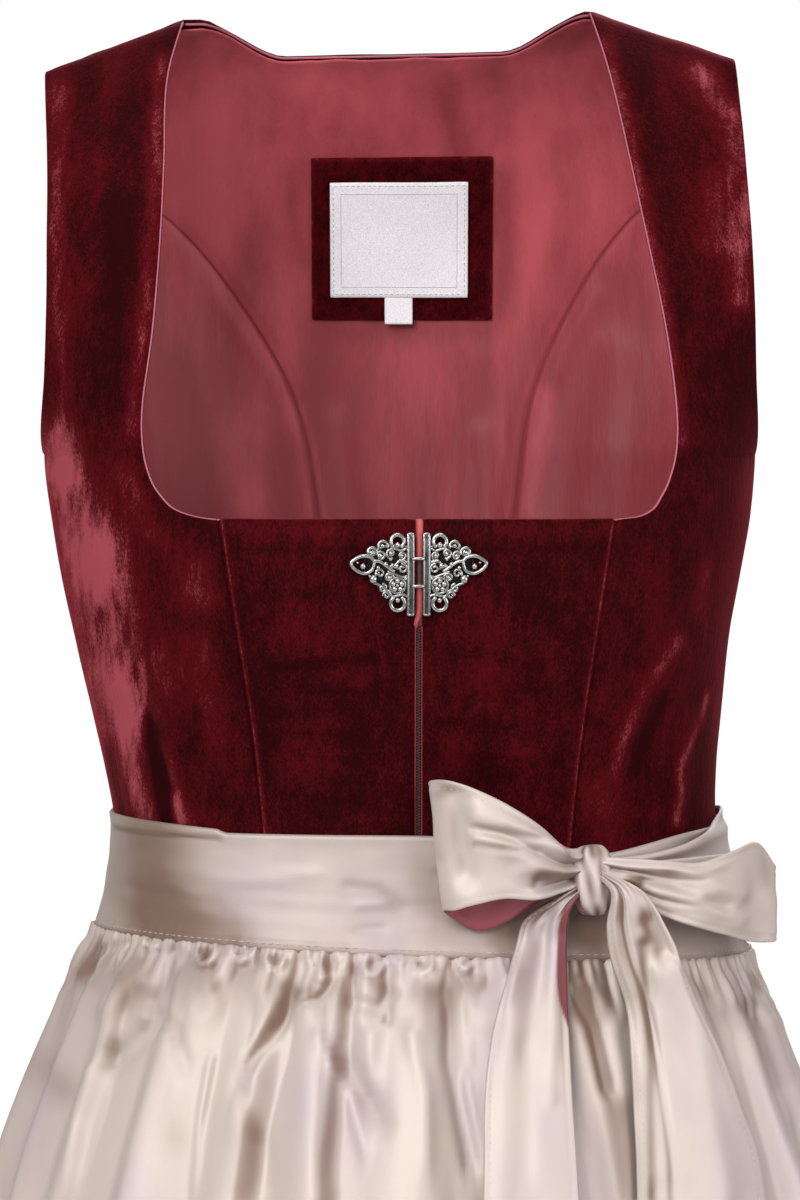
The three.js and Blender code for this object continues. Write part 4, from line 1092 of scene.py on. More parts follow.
def skirt_panel(side, start):
    """A gathered panel, whose soft folds grow towards the hem. start is its first edge's angle."""
    t = row_at(sections, skirt_heights)
    gap = gap_angle(t, seam / 2)[:, None]
    s = np.linspace(0, 1, skirt_columns)[None]
    angle = start + gap + (90 - 2 * gap) * s
    rows, height = (np.repeat(part[:, None], skirt_columns, 1) for part in (t, skirt_heights))
    below = waist - height
    sway = 2.2 * noise(angle / 17, below / 190, 51) * smooth(20, 300, below)
    wave = 0.5 - 0.5 * np.cos(np.radians((angle + sway * np.sin(np.radians(s * 180))) * skirt_fold_count))
    wave = mix(wave, wave**1.5, 0.6 + 0.4 * noise(angle / 9, below / 260, 52))
    depth = column(skirt_folds, "depth", row_at(skirt_folds, height))
    depth = depth * (1 + 0.2 * noise(angle / 18, below * 0, 53))
    gathers = 1.3 * np.abs(np.sin(np.radians(angle * 97 + 60 * noise(angle / 4, below * 0, 54))))
    gathers *= 1 - smooth(4, 70, below)
    soft = 0.9 * (1 + noise(angle / 6, below / 60, 55)) * smooth(0, 40, below)
    edges = bell(np.minimum(s, 1 - s) * 90, 0.35) * smooth(0, 20, below)
    lift = -layer - depth * wave - gathers - soft - 1.2 * edges
    points = place(angle, rows, lift)
    pile_and_sheen = 0.34 + 0.2 * noise(angle / 3.2, below / 60, 56) + 0.14 * noise(angle / 1.1, below / 22, 57)
    # Painted sheen on the folds' tops and painted shade in their hollows, and lighter along the panel's edges
    pile_and_sheen += 0.28 * (1 - wave) * smooth(30, 300, below) - 0.2 * wave + 0.25 * edges
    hem = bell(height - skirt_hem - 25, 1.6)
    return shell(f"skirt_{side}_cloth", points, skirt_cloth, [velvet], {"pile_and_sheen": pile_and_sheen - 0.3 * hem})


# Apron
apron_half_angle = 104
apron_columns = 441
front_share = 0.8  # below 1 the grid is closer in front than at the sides
apron_length = 600
apron_folds = (
    (-99, 11, 9, -2, 0.5), (-86, 13, 12, -3, 0.4), (-71, 12, 10, -4, 0.5), (-59, 10, 8, -4, 0.6),
    (-45, 17, 13, -6, 0.3), (-28, 12, 10, -6, 0.7), (-15, 11, 12, -4, 0.72), (-1, 13, 12, -1, 0.65),
    (13, 12, 10, 1, 0.35), (28, 13, 12, 3, 0.35), (41, 10, 8, 4, 0.5), (53, 12, 12, 5, 0.4),
    (65, 11, 10, 4, 0.4), (78, 12, 11, 3, 0.5), (90, 11, 9, 2, 0.6), (101, 9, 8, 1, 0.5),
)
least_lift = 0.4
band_top = -337
band_bottom = -385.5
band_slant = 5.5
band_half_angle = 101
band_columns = 341
band_rows = 41
# Creases and folds just below the band: width, lift and path
apron_relief = [
    (4, -3.5, -84.2, -376.8, -87.4, -391.2, -94.6, -416.4, -109.8, -430.8),
    (2.5, -3, -117.9, -390, -120, -397), (2, -2, -93.4, -376.2, -117, -390), (5, 2, -102, -398, -112, -412),
    (6, 1.6, -70, -392, -74, -412), (2.5, -4, -34.2, -386, -42.4, -411.4, -54.6, -429.8),
    (1.5, -1.5, -35.8, -405.8, -28.2, -403.2, -23, -397.2), (1.5, -3, -21.4, -384.8, -23, -396),
    (3.6, -2.2, -14.8, -399.2, -16.9, -417.6, -21, -439, -24, -470),
    (3.2, -2.6, -13.8, -404, -5, -406.4, 1, -401), (4, 1.6, -8, -418, -9, -436),
    (1.5, -2.5, -0.6, -386, -1, -411.5), (3, -4, 25.3, -387.6, 24.2, -427, 32, -466.3),
    (5, -3, 26.4, -400, 28.6, -427), (4, -5, 74.6, -399, 81.4, -415.8, 85.8, -438.2),
    (5, 1.4, 12, -392, 11, -420), (6, 1.6, 46, -392, 50, -418), (1.8, 1.3, -70, -428, -74, -450, -77, -478),
    (2.2, 1.6, -117, -436, -122, -456, -126, -486), (4.2, -2.0, -20, -424, -10, -436, -3, -452),
    (2.6, 1.4, -28, -418, -16, -440, -10, -462), (4, -1.8, -58, -436, -52, -452, -50, -474),
    (2.6, -1.5, -92, -408, -84, -418, -79, -432), (3, 1.4, 8, -418, 14, -440, 14, -470),
    (3, 1.6, 150, -420, 158, -450, 162, -486), (3, -1.8, 118, -412, 128, -436, 134, -470),
]
# Small gathers under the band that curl over: middle (x, z) and radius
apron_curls = [
    (-95, -381, 3.2), (-73, -386, 4.2), (-59, -384.5, 3.4), (-46, -387, 3.6), (-26, -389, 5), (-7, -388, 4.4),
    (3.5, -385, 3), (13, -388, 3.8), (30, -387, 3.2), (100, -386, 3.4), (112, -388, 4),
]
# Painted shade where the satin turns away from the light: width, strength and path
apron_painted_shade = [
    (12, 0.3, -132, -399.6, -148, -439.6), (3, 0.5, -118, -385.6, -124, -399.6),
    (7, 0.35, -136, -440, -124, -448), (5, 0.22, -90, -423.6, -84, -460), (5, 0.3, -104, -400, -98, -416),
    (2.6, 0.6, -76, -386, -73, -391), (2.2, 0.5, -68, -381, -66, -386), (2.4, 0.55, -51.4, -384, -51, -391),
    (3.6, 0.5, -14.2, -391.6, -6, -397, -0.2, -399.6),
    (3, 0.5, -36.2, -399.6, -44.2, -411.6, -52.2, -423.6, -56.2, -431.6), (5, 0.45, -56, -455, -58, -480),
    (6, 0.2, -8, -425, -9, -450), (3, 0.35, -42, -398, -30, -402), (4, 0.45, 27.8, -391.6, 33.8, -397.6),
    (2.6, 0.35, 23.8, -399.6, 29.8, -455.6), (7, 0.4, 33.8, -465, 36, -485),
    (10, 0.95, 73.8, -383.6, 77.8, -415.6, 83.8, -443.6, 87.8, -485),
    (3.4, 0.5, 127.8, -383.6, 143.8, -415.6, 155.8, -443.6), (5, 0.4, 139.8, -377, 146, -386),
    (5, 0.35, 112, -388, 120, -402), (4, 0.4, -20, -426, -10, -438, -3, -452),
    (3, 0.3, -92, -410, -82, -422), (4.5, 0.3, -110, -424, -109, -432), (3.4, 0.35, -58, -438, -52, -456),
]
# Painted shade on the band, with one painted highlight: width, strength and path
band_painted_shade = [
    (17, 0.5, -96, -341, -93, -372), (9, 0.32, -94, -370, -62, -378), (12, -0.06, -70, -352, -30, -355),
    (4, 0.12, -17, -357, -5, -358, 4, -366), (9, 0.22, 14, -352, 22, -372), (9, 0.5, 43, -352, 46, -376),
    (10, 0.55, 66, -372, 82, -378),
]
# Painted shade on the bow's loops and tails, with a few painted highlights: width, strength and path
inner_loop_painted_shade = [
    (3, 0.45, 35.8, -333.6, 43.8, -337.6), (2.6, 0.35, 18.6, -319.6, 19.8, -343.6),
    (3.2, 0.35, 24.8, -326, 27, -345), (4, 0.75, 60, -350, 74, -352.5), (3, 0.28, 46, -330, 66, -338),
    (2.6, 0.35, 34.3, -341, 60, -344), (3, 0.4, 70, -343, 74, -353), (4, -0.12, 30, -352, 50, -356),
]
outer_loop_painted_shade = [
    (3, 0.55, 97.8, -353.6, 111.8, -367.6), (2.6, 0.6, 90, -352, 106, -355, 118, -357),
    (2.8, 0.4, 131.8, -343.6, 112, -349.6), (4, 0.4, 151.8, -345.6, 153.8, -357.6),
    (5, 0.15, 128, -366, 140, -372), (2.4, 0.35, 108, -371, 150, -380),
]
inner_tail_painted_shade = [
    (6, 0.6, 53.8, -369.6, 66, -361.6), (4, 0.3, 58, -380, 48, -402), (3, 0.22, 66, -372, 67, -440),
    (4, -0.1, 44, -420, 42, -480),
]
outer_tail_painted_shade = [
    (5, 0.7, 105, -371, 110, -382), (4, 0.4, 91.8, -363.6, 93.8, -399.6),
    (2.6, 0.5, 103, -380, 105, -430, 106, -485), (3, 0.25, 97, -400, 99, -440),
    (4, 0.3, 100, -352, 112, -366),
]


def band_edge(angle):
    return band_bottom - band_slant * np.sin(np.radians(angle))


def fold_growth(from_top):
    return 0.15 * smooth(0, 12, from_top) + 0.45 * smooth(5, 70, from_top) + 0.4 * smooth(60, 260, from_top)


def apron_fold(angle, from_top):
    share = np.clip(from_top / apron_length, 0, 1)
    lift = np.zeros(np.shape(angle))
    for middle, width, rise, lean, sharp in apron_folds:
        away = angle - middle + lean * (1 - share)
        flank = np.where(away > 0, width * (1 - sharp), width * sharp)
        reach = np.clip(np.abs(away) / flank, 0, 1)
        lift = np.maximum(lift, rise * fold_growth(from_top) * (0.5 + 0.5 * np.cos(math.pi * reach)))
    return lift


def gather_folds(angle, from_top, seed, spacing, height, reach):
    """Small folds with round tops and sharp valleys, uneven in width, height and reach."""
    random = np.random.default_rng(seed)
    widths = random.uniform(0.55, 1.6, int(2.4 * apron_half_angle / spacing)) * spacing
    edges = np.cumsum(widths) - apron_half_angle - 6
    edges = edges[edges < apron_half_angle + 8]
    tall = random.uniform(0.35, 1.0, len(edges)) * height
    far = mix(*reach, random.uniform(0, 1, len(edges)) ** 1.6)
    k = np.clip(np.searchsorted(edges, angle) - 1, 0, len(edges) - 2)
    f = np.clip((angle - edges[k]) / (edges[k + 1] - edges[k]), 0, 1)
    return tall[k] * np.sin(math.pi * f) ** 0.8 * (1 - smooth(far[k] * 0.25, far[k], from_top))


def curled(x, z):
    """The round edge of each curl and the hollow inside it, from 0 to 1."""
    rim = np.zeros(np.shape(x))
    hollow = np.zeros(np.shape(x))
    for x0, z0, radius in apron_curls:
        away = np.hypot(x - x0, (z - z0) * 0.8)
        rim += bell(away - radius, 1.1) * smooth(radius * 0.4, -radius * 0.5, z - z0)
        hollow += bell(away, radius * 0.55)
    return rim, hollow


def apron_panel():
    steps = (0, 32, 1.4), (32, 80, 3.2), (80, 160, 7), (160, 568, 14), (568, 586, 2.6), (586, apron_length, 5)
    share = np.linspace(-1, 1, apron_columns)
    angles = apron_half_angle * (front_share * share + (1 - front_share) * share**3)
    angle, below = np.meshgrid(angles, dense(*steps)[::-1])
    top = band_edge(angle) - seam
    height = mix(top, apron_hem, below / apron_length)
    t = row_at(sections, height)
    flat = form(angle, t)
    x, z = flat[..., 0], flat[..., 2]
    from_top = top - height
    drift = 1.1 * noise(angle / 11, from_top / 34, 61) * smooth(3, 40, from_top)
    small = gather_folds(angle + drift, from_top, 62, 3.1, 2.6, (9, 34))
    tiny = gather_folds(angle - drift, from_top, 63, 1.5, 1.3, (5, 15))
    wide = gather_folds(angle + 2 * drift, from_top, 64, 9.5, 2.0, (60, 170)) * smooth(4, 30, from_top)
    curls = noise(angle / 2.6, from_top / 8, 65) * smooth(3, 9, from_top) * (1 - smooth(20, 40, from_top))
    fullness = 2.4 * smooth(2, 22, from_top) * (1 - 0.6 * smooth(70, 200, from_top))
    facing = facing_front(angle, 0.3)
    rim, hollow = (part * facing * smooth(0, 3, from_top) for part in curled(x, z))
    relief = strokes(x, z, apron_relief) * facing * smooth(0, 8, from_top) + 1.5 * rim - 1.4 * hollow
    swell = 1.5 * noise(angle / 9, from_top / 85, 66) * smooth(20, 120, from_top)
    extra = fullness + small + tiny + wide + curls + relief + swell
    extra = np.where(extra > least_lift, extra, least_lift * np.exp(np.minimum(extra / least_lift - 1, 0)))
    base = layer + satin + apron_fold(angle, from_top)
    hem = 0.5 * bell(below - apron_length + 22, 1.5)
    points = place(angle, t, base + extra - hem)
    # Painted shade in the gathers' valleys, in the curls' hollows and along the strokes, a painted highlight
    # on the curls' rims, and painted shade and highlight where the folds turn from or to the light
    gather_shade = bell(small + tiny, 1.1) * (1 - smooth(8, 38, from_top))
    painted_shading = 0.08 + 0.4 * gather_shade + 0.55 * strokes(x, z, apron_painted_shade) * facing + 0.5 * hollow - 0.2 * rim
    painted_shading += 0.12 * noise(angle / 7, from_top / 150, 67) * smooth(10, 60, from_top)
    painted_shading += 0.62 * painted_fold_shade(points, form_normal(angle, t))
    return shell("apron_panel_cloth", points, satin, [champagne], {"painted_shading": painted_shading})


band_relief = [
    (2.2, -0.5, -17, -357, -5, -358, 4, -366), (2.0, 0.5, -13, -365, -2, -364),
    (1.8, -0.55, -13, -375.5, -3, -374.5), (3.5, 0.4, -90, -352, -60, -356, -30, -352),
    (3.0, -0.5, -104, -362, -70, -366), (3.0, -0.5, 20, -352, 36, -358), (3.0, 0.35, -60, -371, -20, -374),
]


def apron_band():
    """The band, with the tie's first layer along its upper edge at the wearer's right."""
    angles = np.linspace(-band_half_angle, band_half_angle, band_columns)
    angle, v = np.meshgrid(angles, np.linspace(0, 1, band_rows))
    x_top = form(angles, row_at(sections, band_top))[:, 0]
    in_front = np.abs(angles) < 90
    step = np.where(in_front, 1 - smooth(-70, -66, x_top), 1)
    pulled = 9 * bell(x_top - 80, 34) * in_front
    high = band_top + mix(4.9, 1.5, np.clip((x_top + 114) / 47, 0, 1)) * step - pulled
    line = high - 4.6 + 2.4 * smooth(-113, -66, x_top)
    layered = step * smooth(-88, -72, angles)
    height = mix(band_edge(angle), high[None], v)
    t = row_at(sections, height)
    flat = form(angle, t)
    x, z = flat[..., 0], flat[..., 2]
    up = height - band_edge(angle)
    pull = (0.5 + 0.5 * noise(angle / 1.4, angle * 0, 71)) * bell(up, 4.5)
    sewn = -0.5 * bell(up - 2, 0.8)
    wrinkles = 0.2 * noise(angle / 15, up / 7, 72) + 0.1 * noise(angle / 6, up / 4, 73)
    upper = 1.0 * smooth(-0.6, 0.6, height - line[None]) * layered[None]
    lift = band_gap + band_cloth * (1 - 0.5 * smooth(0.5, 1, v))
    lift += 0.6 * pull + sewn + wrinkles + upper + strokes(x, z, band_relief)
    points = place(angle, t, lift)
    facing = facing_front(angle, 0.3)
    # Painted shade and highlight where the band turns from or to the light, painted shade at its sewn lower
    # edge and under the tie's layer, and a painted highlight on its wrinkles
    painted_shading = 0.32 + 0.3 * painted_fold_shade(points, form_normal(angle, t)) + strokes(x, z, band_painted_shade) * facing
    painted_shading += 0.35 * bell(up, 1.2) - 0.12 * wrinkles
    painted_shading += 0.3 * bell(height - line[None] + 0.7, 0.8) * layered[None]
    made = shell("apron_band_cloth", points, band_cloth, [champagne], {"painted_shading": painted_shading})
    sewing = Trim()
    path_angle = np.linspace(-band_half_angle + 1, band_half_angle - 1, 400)
    path = place(path_angle, row_at(sections, band_edge(path_angle) + 2), band_gap + band_cloth + 0.1)
    sewing.stitches(path, 2.3, 0.9, 0.2)
    return [made, sewing.build("band_stitches", satin_thread, "apron_satin")]


# Tie and bow
tie_end = 36
tie_columns = 251
tie_rows = 29
tie_low, tie_high, tie_lift = -367, -346, 2


def tie_back():
    start = 360 - band_half_angle - gap_angle(row_at(sections, band_top), seam)
    angle, v = np.meshgrid(np.linspace(tie_end, start, tie_columns), np.linspace(0, 1, tie_rows))
    narrow = 1 - smooth(tie_end, 95, angle)
    on_band = 1 - smooth(104, 116, angle)
    low = mix(band_edge(angle) + 2, tie_low, narrow)
    raised = 3.6 * bell(angle - 84, 20)
    high = mix(band_top + 3 * on_band, tie_high, narrow) + raised
    t = row_at(sections, mix(low, high, v))
    folds = 1.3 * np.sin(v * 14 + 1.4 * noise(angle / 22, v * 2, 81)) * (0.3 + 0.7 * narrow)
    folds += 0.5 * noise(angle / 13, v * 5, 82)
    folds *= smooth(0, 0.1, v) * smooth(0, 0.1, 1 - v)
    lift = band_gap + (band_cloth + layer) * on_band + tie_lift * narrow + tie_cloth + 0.6 + folds
    lift = mix(lift, 3.2, smooth(band_top - 3, band_top + 3, mix(low, high, v)) * on_band)
    points = place(angle, t, lift)
    # Random tone, with painted shade and highlight where the tie's folds turn from or to the light
    painted_shading = 0.12 + 0.12 * noise(angle / 13, v * 4, 83) + 0.9 * painted_fold_shade(points, form_normal(angle, t))
    return shell("tie_back_cloth", points, tie_cloth, [champagne, rose_satin], {"painted_shading": painted_shading})


strip_rows = 12  # in each table of a loop or tail
strip_steps = 12  # of the grid, from row to row
strip_columns = 37
loop_names = "x1 z1 x2 z2 y1 y2"
inner_loop = table(
    loop_names,
    (79, -342, 79, -354, -93, -93),
    (70.5, -340.5, 69, -358, -102, -102),
    (60, -331, 59.3, -360.3, -111, -111),
    (46, -322, 46, -359.5, -117, -115),
    (34, -316.4, 33.6, -361.9, -118, -116),
    (23, -313.2, 26, -364.3, -115, -113),
    (16.3, -313.6, 21.5, -365, -108, -106.5),
    (17.5, -315.3, 24.5, -368, -102, -101),
    (26, -318.5, 34.5, -373.5, -101, -100),
    (44, -325.5, 46, -370.7, -99.5, -98),
    (62, -336.7, 63.3, -361, -94, -93.5),
    (79, -345, 78, -356.6, -89.5, -89.5),
)
outer_loop = table(
    loop_names,
    (83, -345, 84, -356, -95, -95),
    (98, -345.5, 98.5, -361.5, -97, -97),
    (110, -346.3, 110, -368, -96, -96.5),
    (125.5, -347.8, 123, -372.8, -90, -92),
    (140, -344, 136, -377, -78, -82),
    (150.3, -341.8, 148, -381, -64, -69),
    (158, -352, 158, -382, -54, -58),
    (154, -347, 154, -381, -48, -51),
    (144, -346.5, 143, -378, -56, -58),
    (129, -347, 127, -373, -69, -70),
    (111, -347.6, 110, -365, -82, -82),
    (86, -349, 87, -357, -89, -89),
)
tail_names = "right left height right_lift left_lift"
inner_tail = table(
    tail_names,
    (78, 83, -356, 14, 16),
    (67, 74.5, -362, 15.5, 17),
    (54.7, 71.4, -370, 10.5, 15),
    (51, 70.8, -381, 7.5, 12),
    (43.6, 70.9, -405, 10, 12.5),
    (40.2, 71.5, -421, 12.5, 14),
    (38.1, 72.4, -441, 14.5, 15.5),
    (37.5, 74.5, -477, 16, 16.5),
    (35, 78, -560, 17, 17.5),
    (33, 80, -660, 17.5, 18),
    (31, 82, -770, 18, 18.5),
    (29, 83, -868, 18, 18.5),
)
outer_tail = table(
    tail_names,
    (80, 86, -351, 15, 18),
    (89, 101.5, -358, 26, 35),
    (87.6, 110, -372, 25, 37),
    (89.4, 116.8, -386, 21, 35),
    (95.5, 124.5, -405, 17, 30),
    (97.4, 134, -425, 15, 27),
    (98.4, 142, -447, 15, 25),
    (99.2, 151, -477, 16, 22),
    (99, 156, -560, 18, 21),
    (98, 158, -660, 18.5, 21),
    (97, 160, -770, 19, 21),
    (96, 161, -866, 19, 21),
)
tail_slant = 14
inner_loop_relief = [
    (7, -5, 24.3, -319.8, 29.9, -349.1), (4, 1.5, 16.9, -317.7, 18.6, -352.6),
    (4, 2.5, 34.3, -328.2, 65.9, -337.9), (2, -2, 33.1, -331.7, 60.2, -336.2),
    (3.5, 3, 34.3, -336.2, 68, -341.3), (2, -2, 34.3, -338.5, 59.1, -341.3),
    (2.5, -3.5, 60.2, -353.7, 74.9, -354.8), (3, 1.5, 52, -349, 68, -350),
]
outer_loop_relief = [
    (3, -4, 102.9, -354.6, 114.3, -355.7), (3.5, 2.2, 96, -350, 112, -350, 128, -355, 142, -362),
    (3.5, 1.8, 110, -360, 128, -366, 142, -372), (2.5, -1.8, 118, -358, 136, -366),
]
inner_tail_relief = [
    (4, -1.8, 64, -366, 60, -392, 55, -420, 54, -470), (3, 1.6, 68, -366, 66, -400, 64, -440),
    (4, 1.6, 50, -392, 46, -430, 45, -480), (7, -2.5, 56, -480, 58, -600, 54, -760),
]
outer_tail_relief = [
    (4, 2.2, 92, -362, 98, -392, 105, -425, 108, -470), (5, -5, 105, -371, 110, -382),
    (3, -3, 103, -380, 106, -430, 106.5, -480), (6, 2, 116, -390, 126, -430, 134, -480),
    (8, -3, 120, -480, 126, -600, 122, -760),
]


def loop_points(rows, t, s):
    first, second = (np.stack([column(rows, name, t) for name in names], -1)
                     for names in (("x1", "y1", "z1"), ("x2", "y2", "z2")))
    return mix(first, second, s[..., None])


def tail_points(rows, t, s):
    x = mix(column(rows, "right", t), column(rows, "left", t), s)
    end = smooth(strip_rows - 2, strip_rows - 1, t)
    points = on_front(x, column(rows, "height", t) - tail_slant * s * end, 0 * x)
    points[..., 1] -= mix(column(rows, "right_lift", t), column(rows, "left_lift", t), s)
    return points


def pleats_at(t, s, rows):
    """Folds that run out from the knot. Each row is their place across the strip at the knot and at their far
    end, their width, lift and length."""
    lift = np.zeros(t.shape)
    for start, end, wide, rise, reach in rows:
        middle = mix(start, end, np.clip(t / reach, 0, 1))
        lift += rise * bell(s - middle, wide) * (1 - smooth(reach * 0.5, reach, t))
    return lift


pleats = {
    "bow_loop_inner": (
        (0.2, 0.14, 0.1, 1.9, 5.4), (0.4, 0.3, 0.05, -2.1, 4.8), (0.6, 0.5, 0.12, 2.3, 4.2),
        (0.84, 0.88, 0.05, -2.0, 2.8),
    ),
    "bow_loop_outer": (
        (0.16, 0.1, 0.09, 1.6, 4.2), (0.34, 0.26, 0.045, -2.0, 3.6), (0.57, 0.48, 0.12, 2.2, 4.8),
        (0.8, 0.68, 0.045, -2.0, 3.4),
    ),
    "bow_tail_inner": ((0.35, 0.3, 0.1, -1.0, 3.2), (0.7, 0.7, 0.1, 0.9, 4.5)),
    "bow_tail_outer": (
        (0.14, 0.12, 0.09, 1.2, 5.5), (0.32, 0.27, 0.045, -2.0, 9.5), (0.62, 0.6, 0.14, 1.2, 4.5),
    ),
}


def ribbon(name, rows, where, flip, relief, painted_shades, reverse, rose=None):
    """A strip of doubled satin. flip turns it so that its outer face looks outwards."""
    steps = np.linspace(0, strip_rows - 1, (strip_rows - 1) * strip_steps + 1)
    across = np.linspace(0, 1, strip_columns)
    t, s = np.meshgrid(steps, across[::-1] if flip else across, indexing="ij")
    middle = where(rows, t, s)
    outward = grid_normals(middle)
    x, z = middle[..., 0], middle[..., 2]
    facing = smooth(0.0, 0.3, -outward[..., 1])
    edge = np.minimum(s, 1 - s)
    width = lengths_along(middle, 1)[:, -1:]
    soft = 0.5 * noise(t * 1.6, s * 4, len(name)) * smooth(0, 0.15, edge)
    sewn = -0.3 * bell(edge * width - 1.8, 0.7)
    folded = strokes(x, z, relief) * 0.7 + pleats_at(t, s, pleats[name])
    lift = folded * facing * smooth(0, 0.08, edge) + soft + sewn
    points = middle + outward * (tie_cloth / 2 + lift)[..., None]
    # Painted shade along the strokes, and painted shade and highlight where the strip turns from or to the
    # light
    painted_shading = 0.1 + 0.6 * strokes(x, z, painted_shades) * facing + 0.1 * noise(t * 0.9, s * 3, len(name) + 1)
    values = {"painted_shading": painted_shading + 0.85 * painted_fold_shade(points, outward), "rose": rose(t, s) if rose else 0 * t}
    made = shell(name + "_cloth", points, tie_cloth, [champagne, reverse], values)
    edges = Trim()
    for k in (-3,) if rose else (2, -3):
        edges.stitches(points[:, k] + outward[:, k] * 0.02, 1.6, 1.2, 0.15)
    return [made, edges.build(name + "_stitches", satin_thread, "apron_satin")]


knot_place = (82, -92.1, -354.3)
knot_profile = table(
    "height radius",
    (-14.2, 0.1), (-13.8, 5.0), (-10.5, 8.0), (-4, 9.2), (3, 9.0), (10, 7.8), (13.6, 5.0), (14.2, 0.1),
)


def knot():
    """The band of satin drawn round the loops, with folds across it."""
    t = np.linspace(0, len(knot_profile["height"]) - 1, 70)
    turn = np.linspace(0, 2 * math.pi, 96, endpoint=False)
    up = column(knot_profile, "height", t)[:, None] + 0 * turn
    radius = column(knot_profile, "radius", t)[:, None]
    wave = np.sin(2 * turn + 0.05 * up + 0.5)
    folds = 0.9 * np.sin(5 * turn + 0.13 * up + 1.5 * wave) + 0.35 * np.sin(9 * turn - 0.2 * up)
    folds *= smooth(0, 5, radius) * (0.6 + 0.4 * np.cos(turn))
    x = (radius + folds) * np.sin(turn) * 0.95
    y = (radius + folds) * np.cos(turn) * -0.92
    tilt = math.radians(-6)
    tilted = x * math.cos(tilt) + up * math.sin(tilt), y, up * math.cos(tilt) - x * math.sin(tilt)
    points = np.stack(tilted, -1) + knot_place
    made = Trim()
    made.wrap(points)
    # Painted shade in the folds' hollows and towards the knot's top and bottom, and a painted highlight on
    # the folds' tops
    painted_shading = 0.15 - 0.35 * folds + 0.3 * smooth(7, 12, np.abs(up))
    edge = Trim()
    edge.tube(points[14:58, 79] + (-0.1, -0.1, 0), 0.4, 6)
    return [
        made.build("bow_knot_cloth", champagne, "apron_satin", "bow_knot", {"painted_shading": painted_shading}),
        edge.build("bow_knot_edge", rose_thread, "apron_satin"),
    ]


def inner_tail_rose(t, s):
    """The tail's edge turns over below the loop and shows its reverse."""
    return smooth(-0.02, 0.02, s - mix(0.83, 1.05, smooth(3.4, 4.8, t)))


strips = {
    "bow_loop_inner": (inner_loop, loop_points, True, inner_loop_relief, inner_loop_painted_shade, rose_satin),
    "bow_loop_outer": (outer_loop, loop_points, False, outer_loop_relief, outer_loop_painted_shade, champagne),
    "bow_tail_inner": (inner_tail, tail_points, True, inner_tail_relief, inner_tail_painted_shade, rose_satin,
                       inner_tail_rose),
    "bow_tail_outer": (outer_tail, tail_points, True, outer_tail_relief, outer_tail_painted_shade, champagne),
}


# All pieces
made = [build(side) for build in (front_centre, front_side, back_side) for side in side_sign]
made.append(velvet_wall("back_centre_cloth", *back_centre_grid(0), cloth, [velvet]))
for side in side_sign:
    grid = panel_grid(side_heights, lining_side_columns, back_side_edges(side, 1), (False, True))
    made.append(lining_wall(f"lining_side_{side}_cloth", *grid))
made.append(lining_wall("lining_back_cloth", *back_centre_grid(1)))
made += [*labels(), *closure(), neck_line(), clasp_half("right"), clasp_half("left")]
for side, start in (("front", -45), ("left", 45), ("back", 135), ("right", 225)):
    made.append(skirt_panel(side, start))
made += [apron_panel(), *apron_band(), tie_back(), *knot()]
for name, strip in strips.items():
    made += ribbon(name, *strip)


# Floor, light and camera
floor_half = 2000
floor_height = -1300


def floor():
    look = Look("floor", Roughness=0.8)
    grey = look.ramp(look.noise((1, 1, 1), 3.0, 0.55, 3.0), (0.3, (0.8, 0.8, 0.8)), (0.7, (0.84, 0.84, 0.84)))
    look.set("Base Color", grey)
    corners = np.array([(-1, -1), (1, -1), (1, 1), (-1, 1)]) * floor_half
    mesh = mesh_of("floor", np.insert(corners, 2, floor_height, 1), np.array([[0, 1, 2, 3]]))
    mesh.materials.append(look.material)
    ground = bpy.data.objects.new("floor", mesh)
    bpy.context.scene.collection.objects.link(ground)


def area_light(name, place_at, aim, size, power, colour=(1, 1, 1)):
    light = bpy.data.lights.new(name, "AREA")
    light.shape = "RECTANGLE"
    light.size, light.size_y = size
    light.energy = power
    light.color = colour
    lamp = bpy.data.objects.new(name, light)
    lamp.location = place_at
    lamp.rotation_euler = (Vector(aim) - Vector(place_at)).to_track_quat("-Z", "Y").to_euler()
    bpy.context.scene.collection.objects.link(lamp)


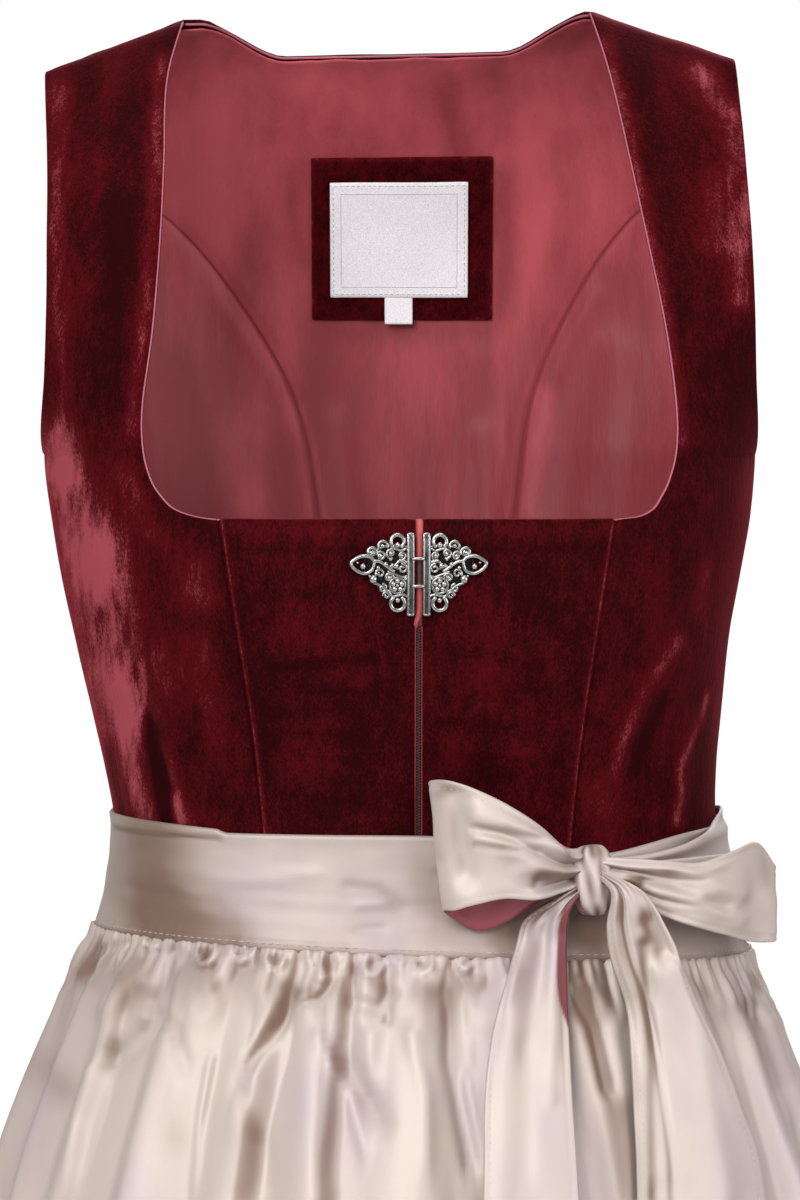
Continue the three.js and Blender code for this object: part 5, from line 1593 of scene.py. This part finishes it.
floor()
area_light("key", (-1.1, -2.7, 1.2), (0, 0, -0.3), (1.7, 1.7), 80)
area_light("fill", (2.4, -2.0, 0.2), (0, 0, -0.3), (1.8, 1.8), 44)
area_light("top", (0.1, -0.3, 1.9), (0, 0, -0.2), (1.2, 1.2), 14)
area_light("behind", (0.6, 2.4, 0.9), (0, 0, -0.4), (1.8, 1.8), 34)

scene = bpy.context.scene
world = bpy.data.worlds.new("studio")
scene.world = world
world.use_nodes = True
nodes, links = world.node_tree.nodes, world.node_tree.links
soft = nodes["Background"]
soft.inputs["Color"].default_value = (1, 1, 1, 1)
towards = nodes.new("ShaderNodeVectorMath")
towards.operation = "DOT_PRODUCT"
towards.inputs[1].default_value = (-0.35, -0.72, 0.6)
spread = nodes.new("ShaderNodeMapRange")
spread.inputs["From Min"].default_value = -0.2
spread.inputs["To Min"].default_value = 0.14
spread.inputs["To Max"].default_value = 0.62
links.new(nodes.new("ShaderNodeTexCoord").outputs["Generated"], towards.inputs[0])
links.new(towards.outputs["Value"], spread.inputs["Value"])
links.new(spread.outputs["Result"], soft.inputs["Strength"])
shown = nodes.new("ShaderNodeBackground")
shown.inputs["Color"].default_value = (1, 1, 1, 1)
shown.inputs["Strength"].default_value = 1.0
ray = nodes.new("ShaderNodeLightPath")
joined = nodes.new("ShaderNodeMixShader")
links.new(ray.outputs["Is Camera Ray"], joined.inputs[0])
links.new(soft.outputs[0], joined.inputs[1])
links.new(shown.outputs[0], joined.inputs[2])
links.new(joined.outputs[0], nodes["World Output"].inputs["Surface"])
scene.view_settings.view_transform = "Standard"
scene.view_settings.look = "None"

camera_data = bpy.data.cameras.new("camera")
camera_data.sensor_fit = "VERTICAL"
camera_data.sensor_height = 36
camera_data.lens = 185.8
camera = bpy.data.objects.new("camera", camera_data)
camera.location = (0.0038, -2.6, -0.15)
camera.rotation_euler = (Vector((0.0038, 0, -0.244)) - camera.location).to_track_quat("-Z", "Y").to_euler()
scene.collection.objects.link(camera)
scene.camera = camera
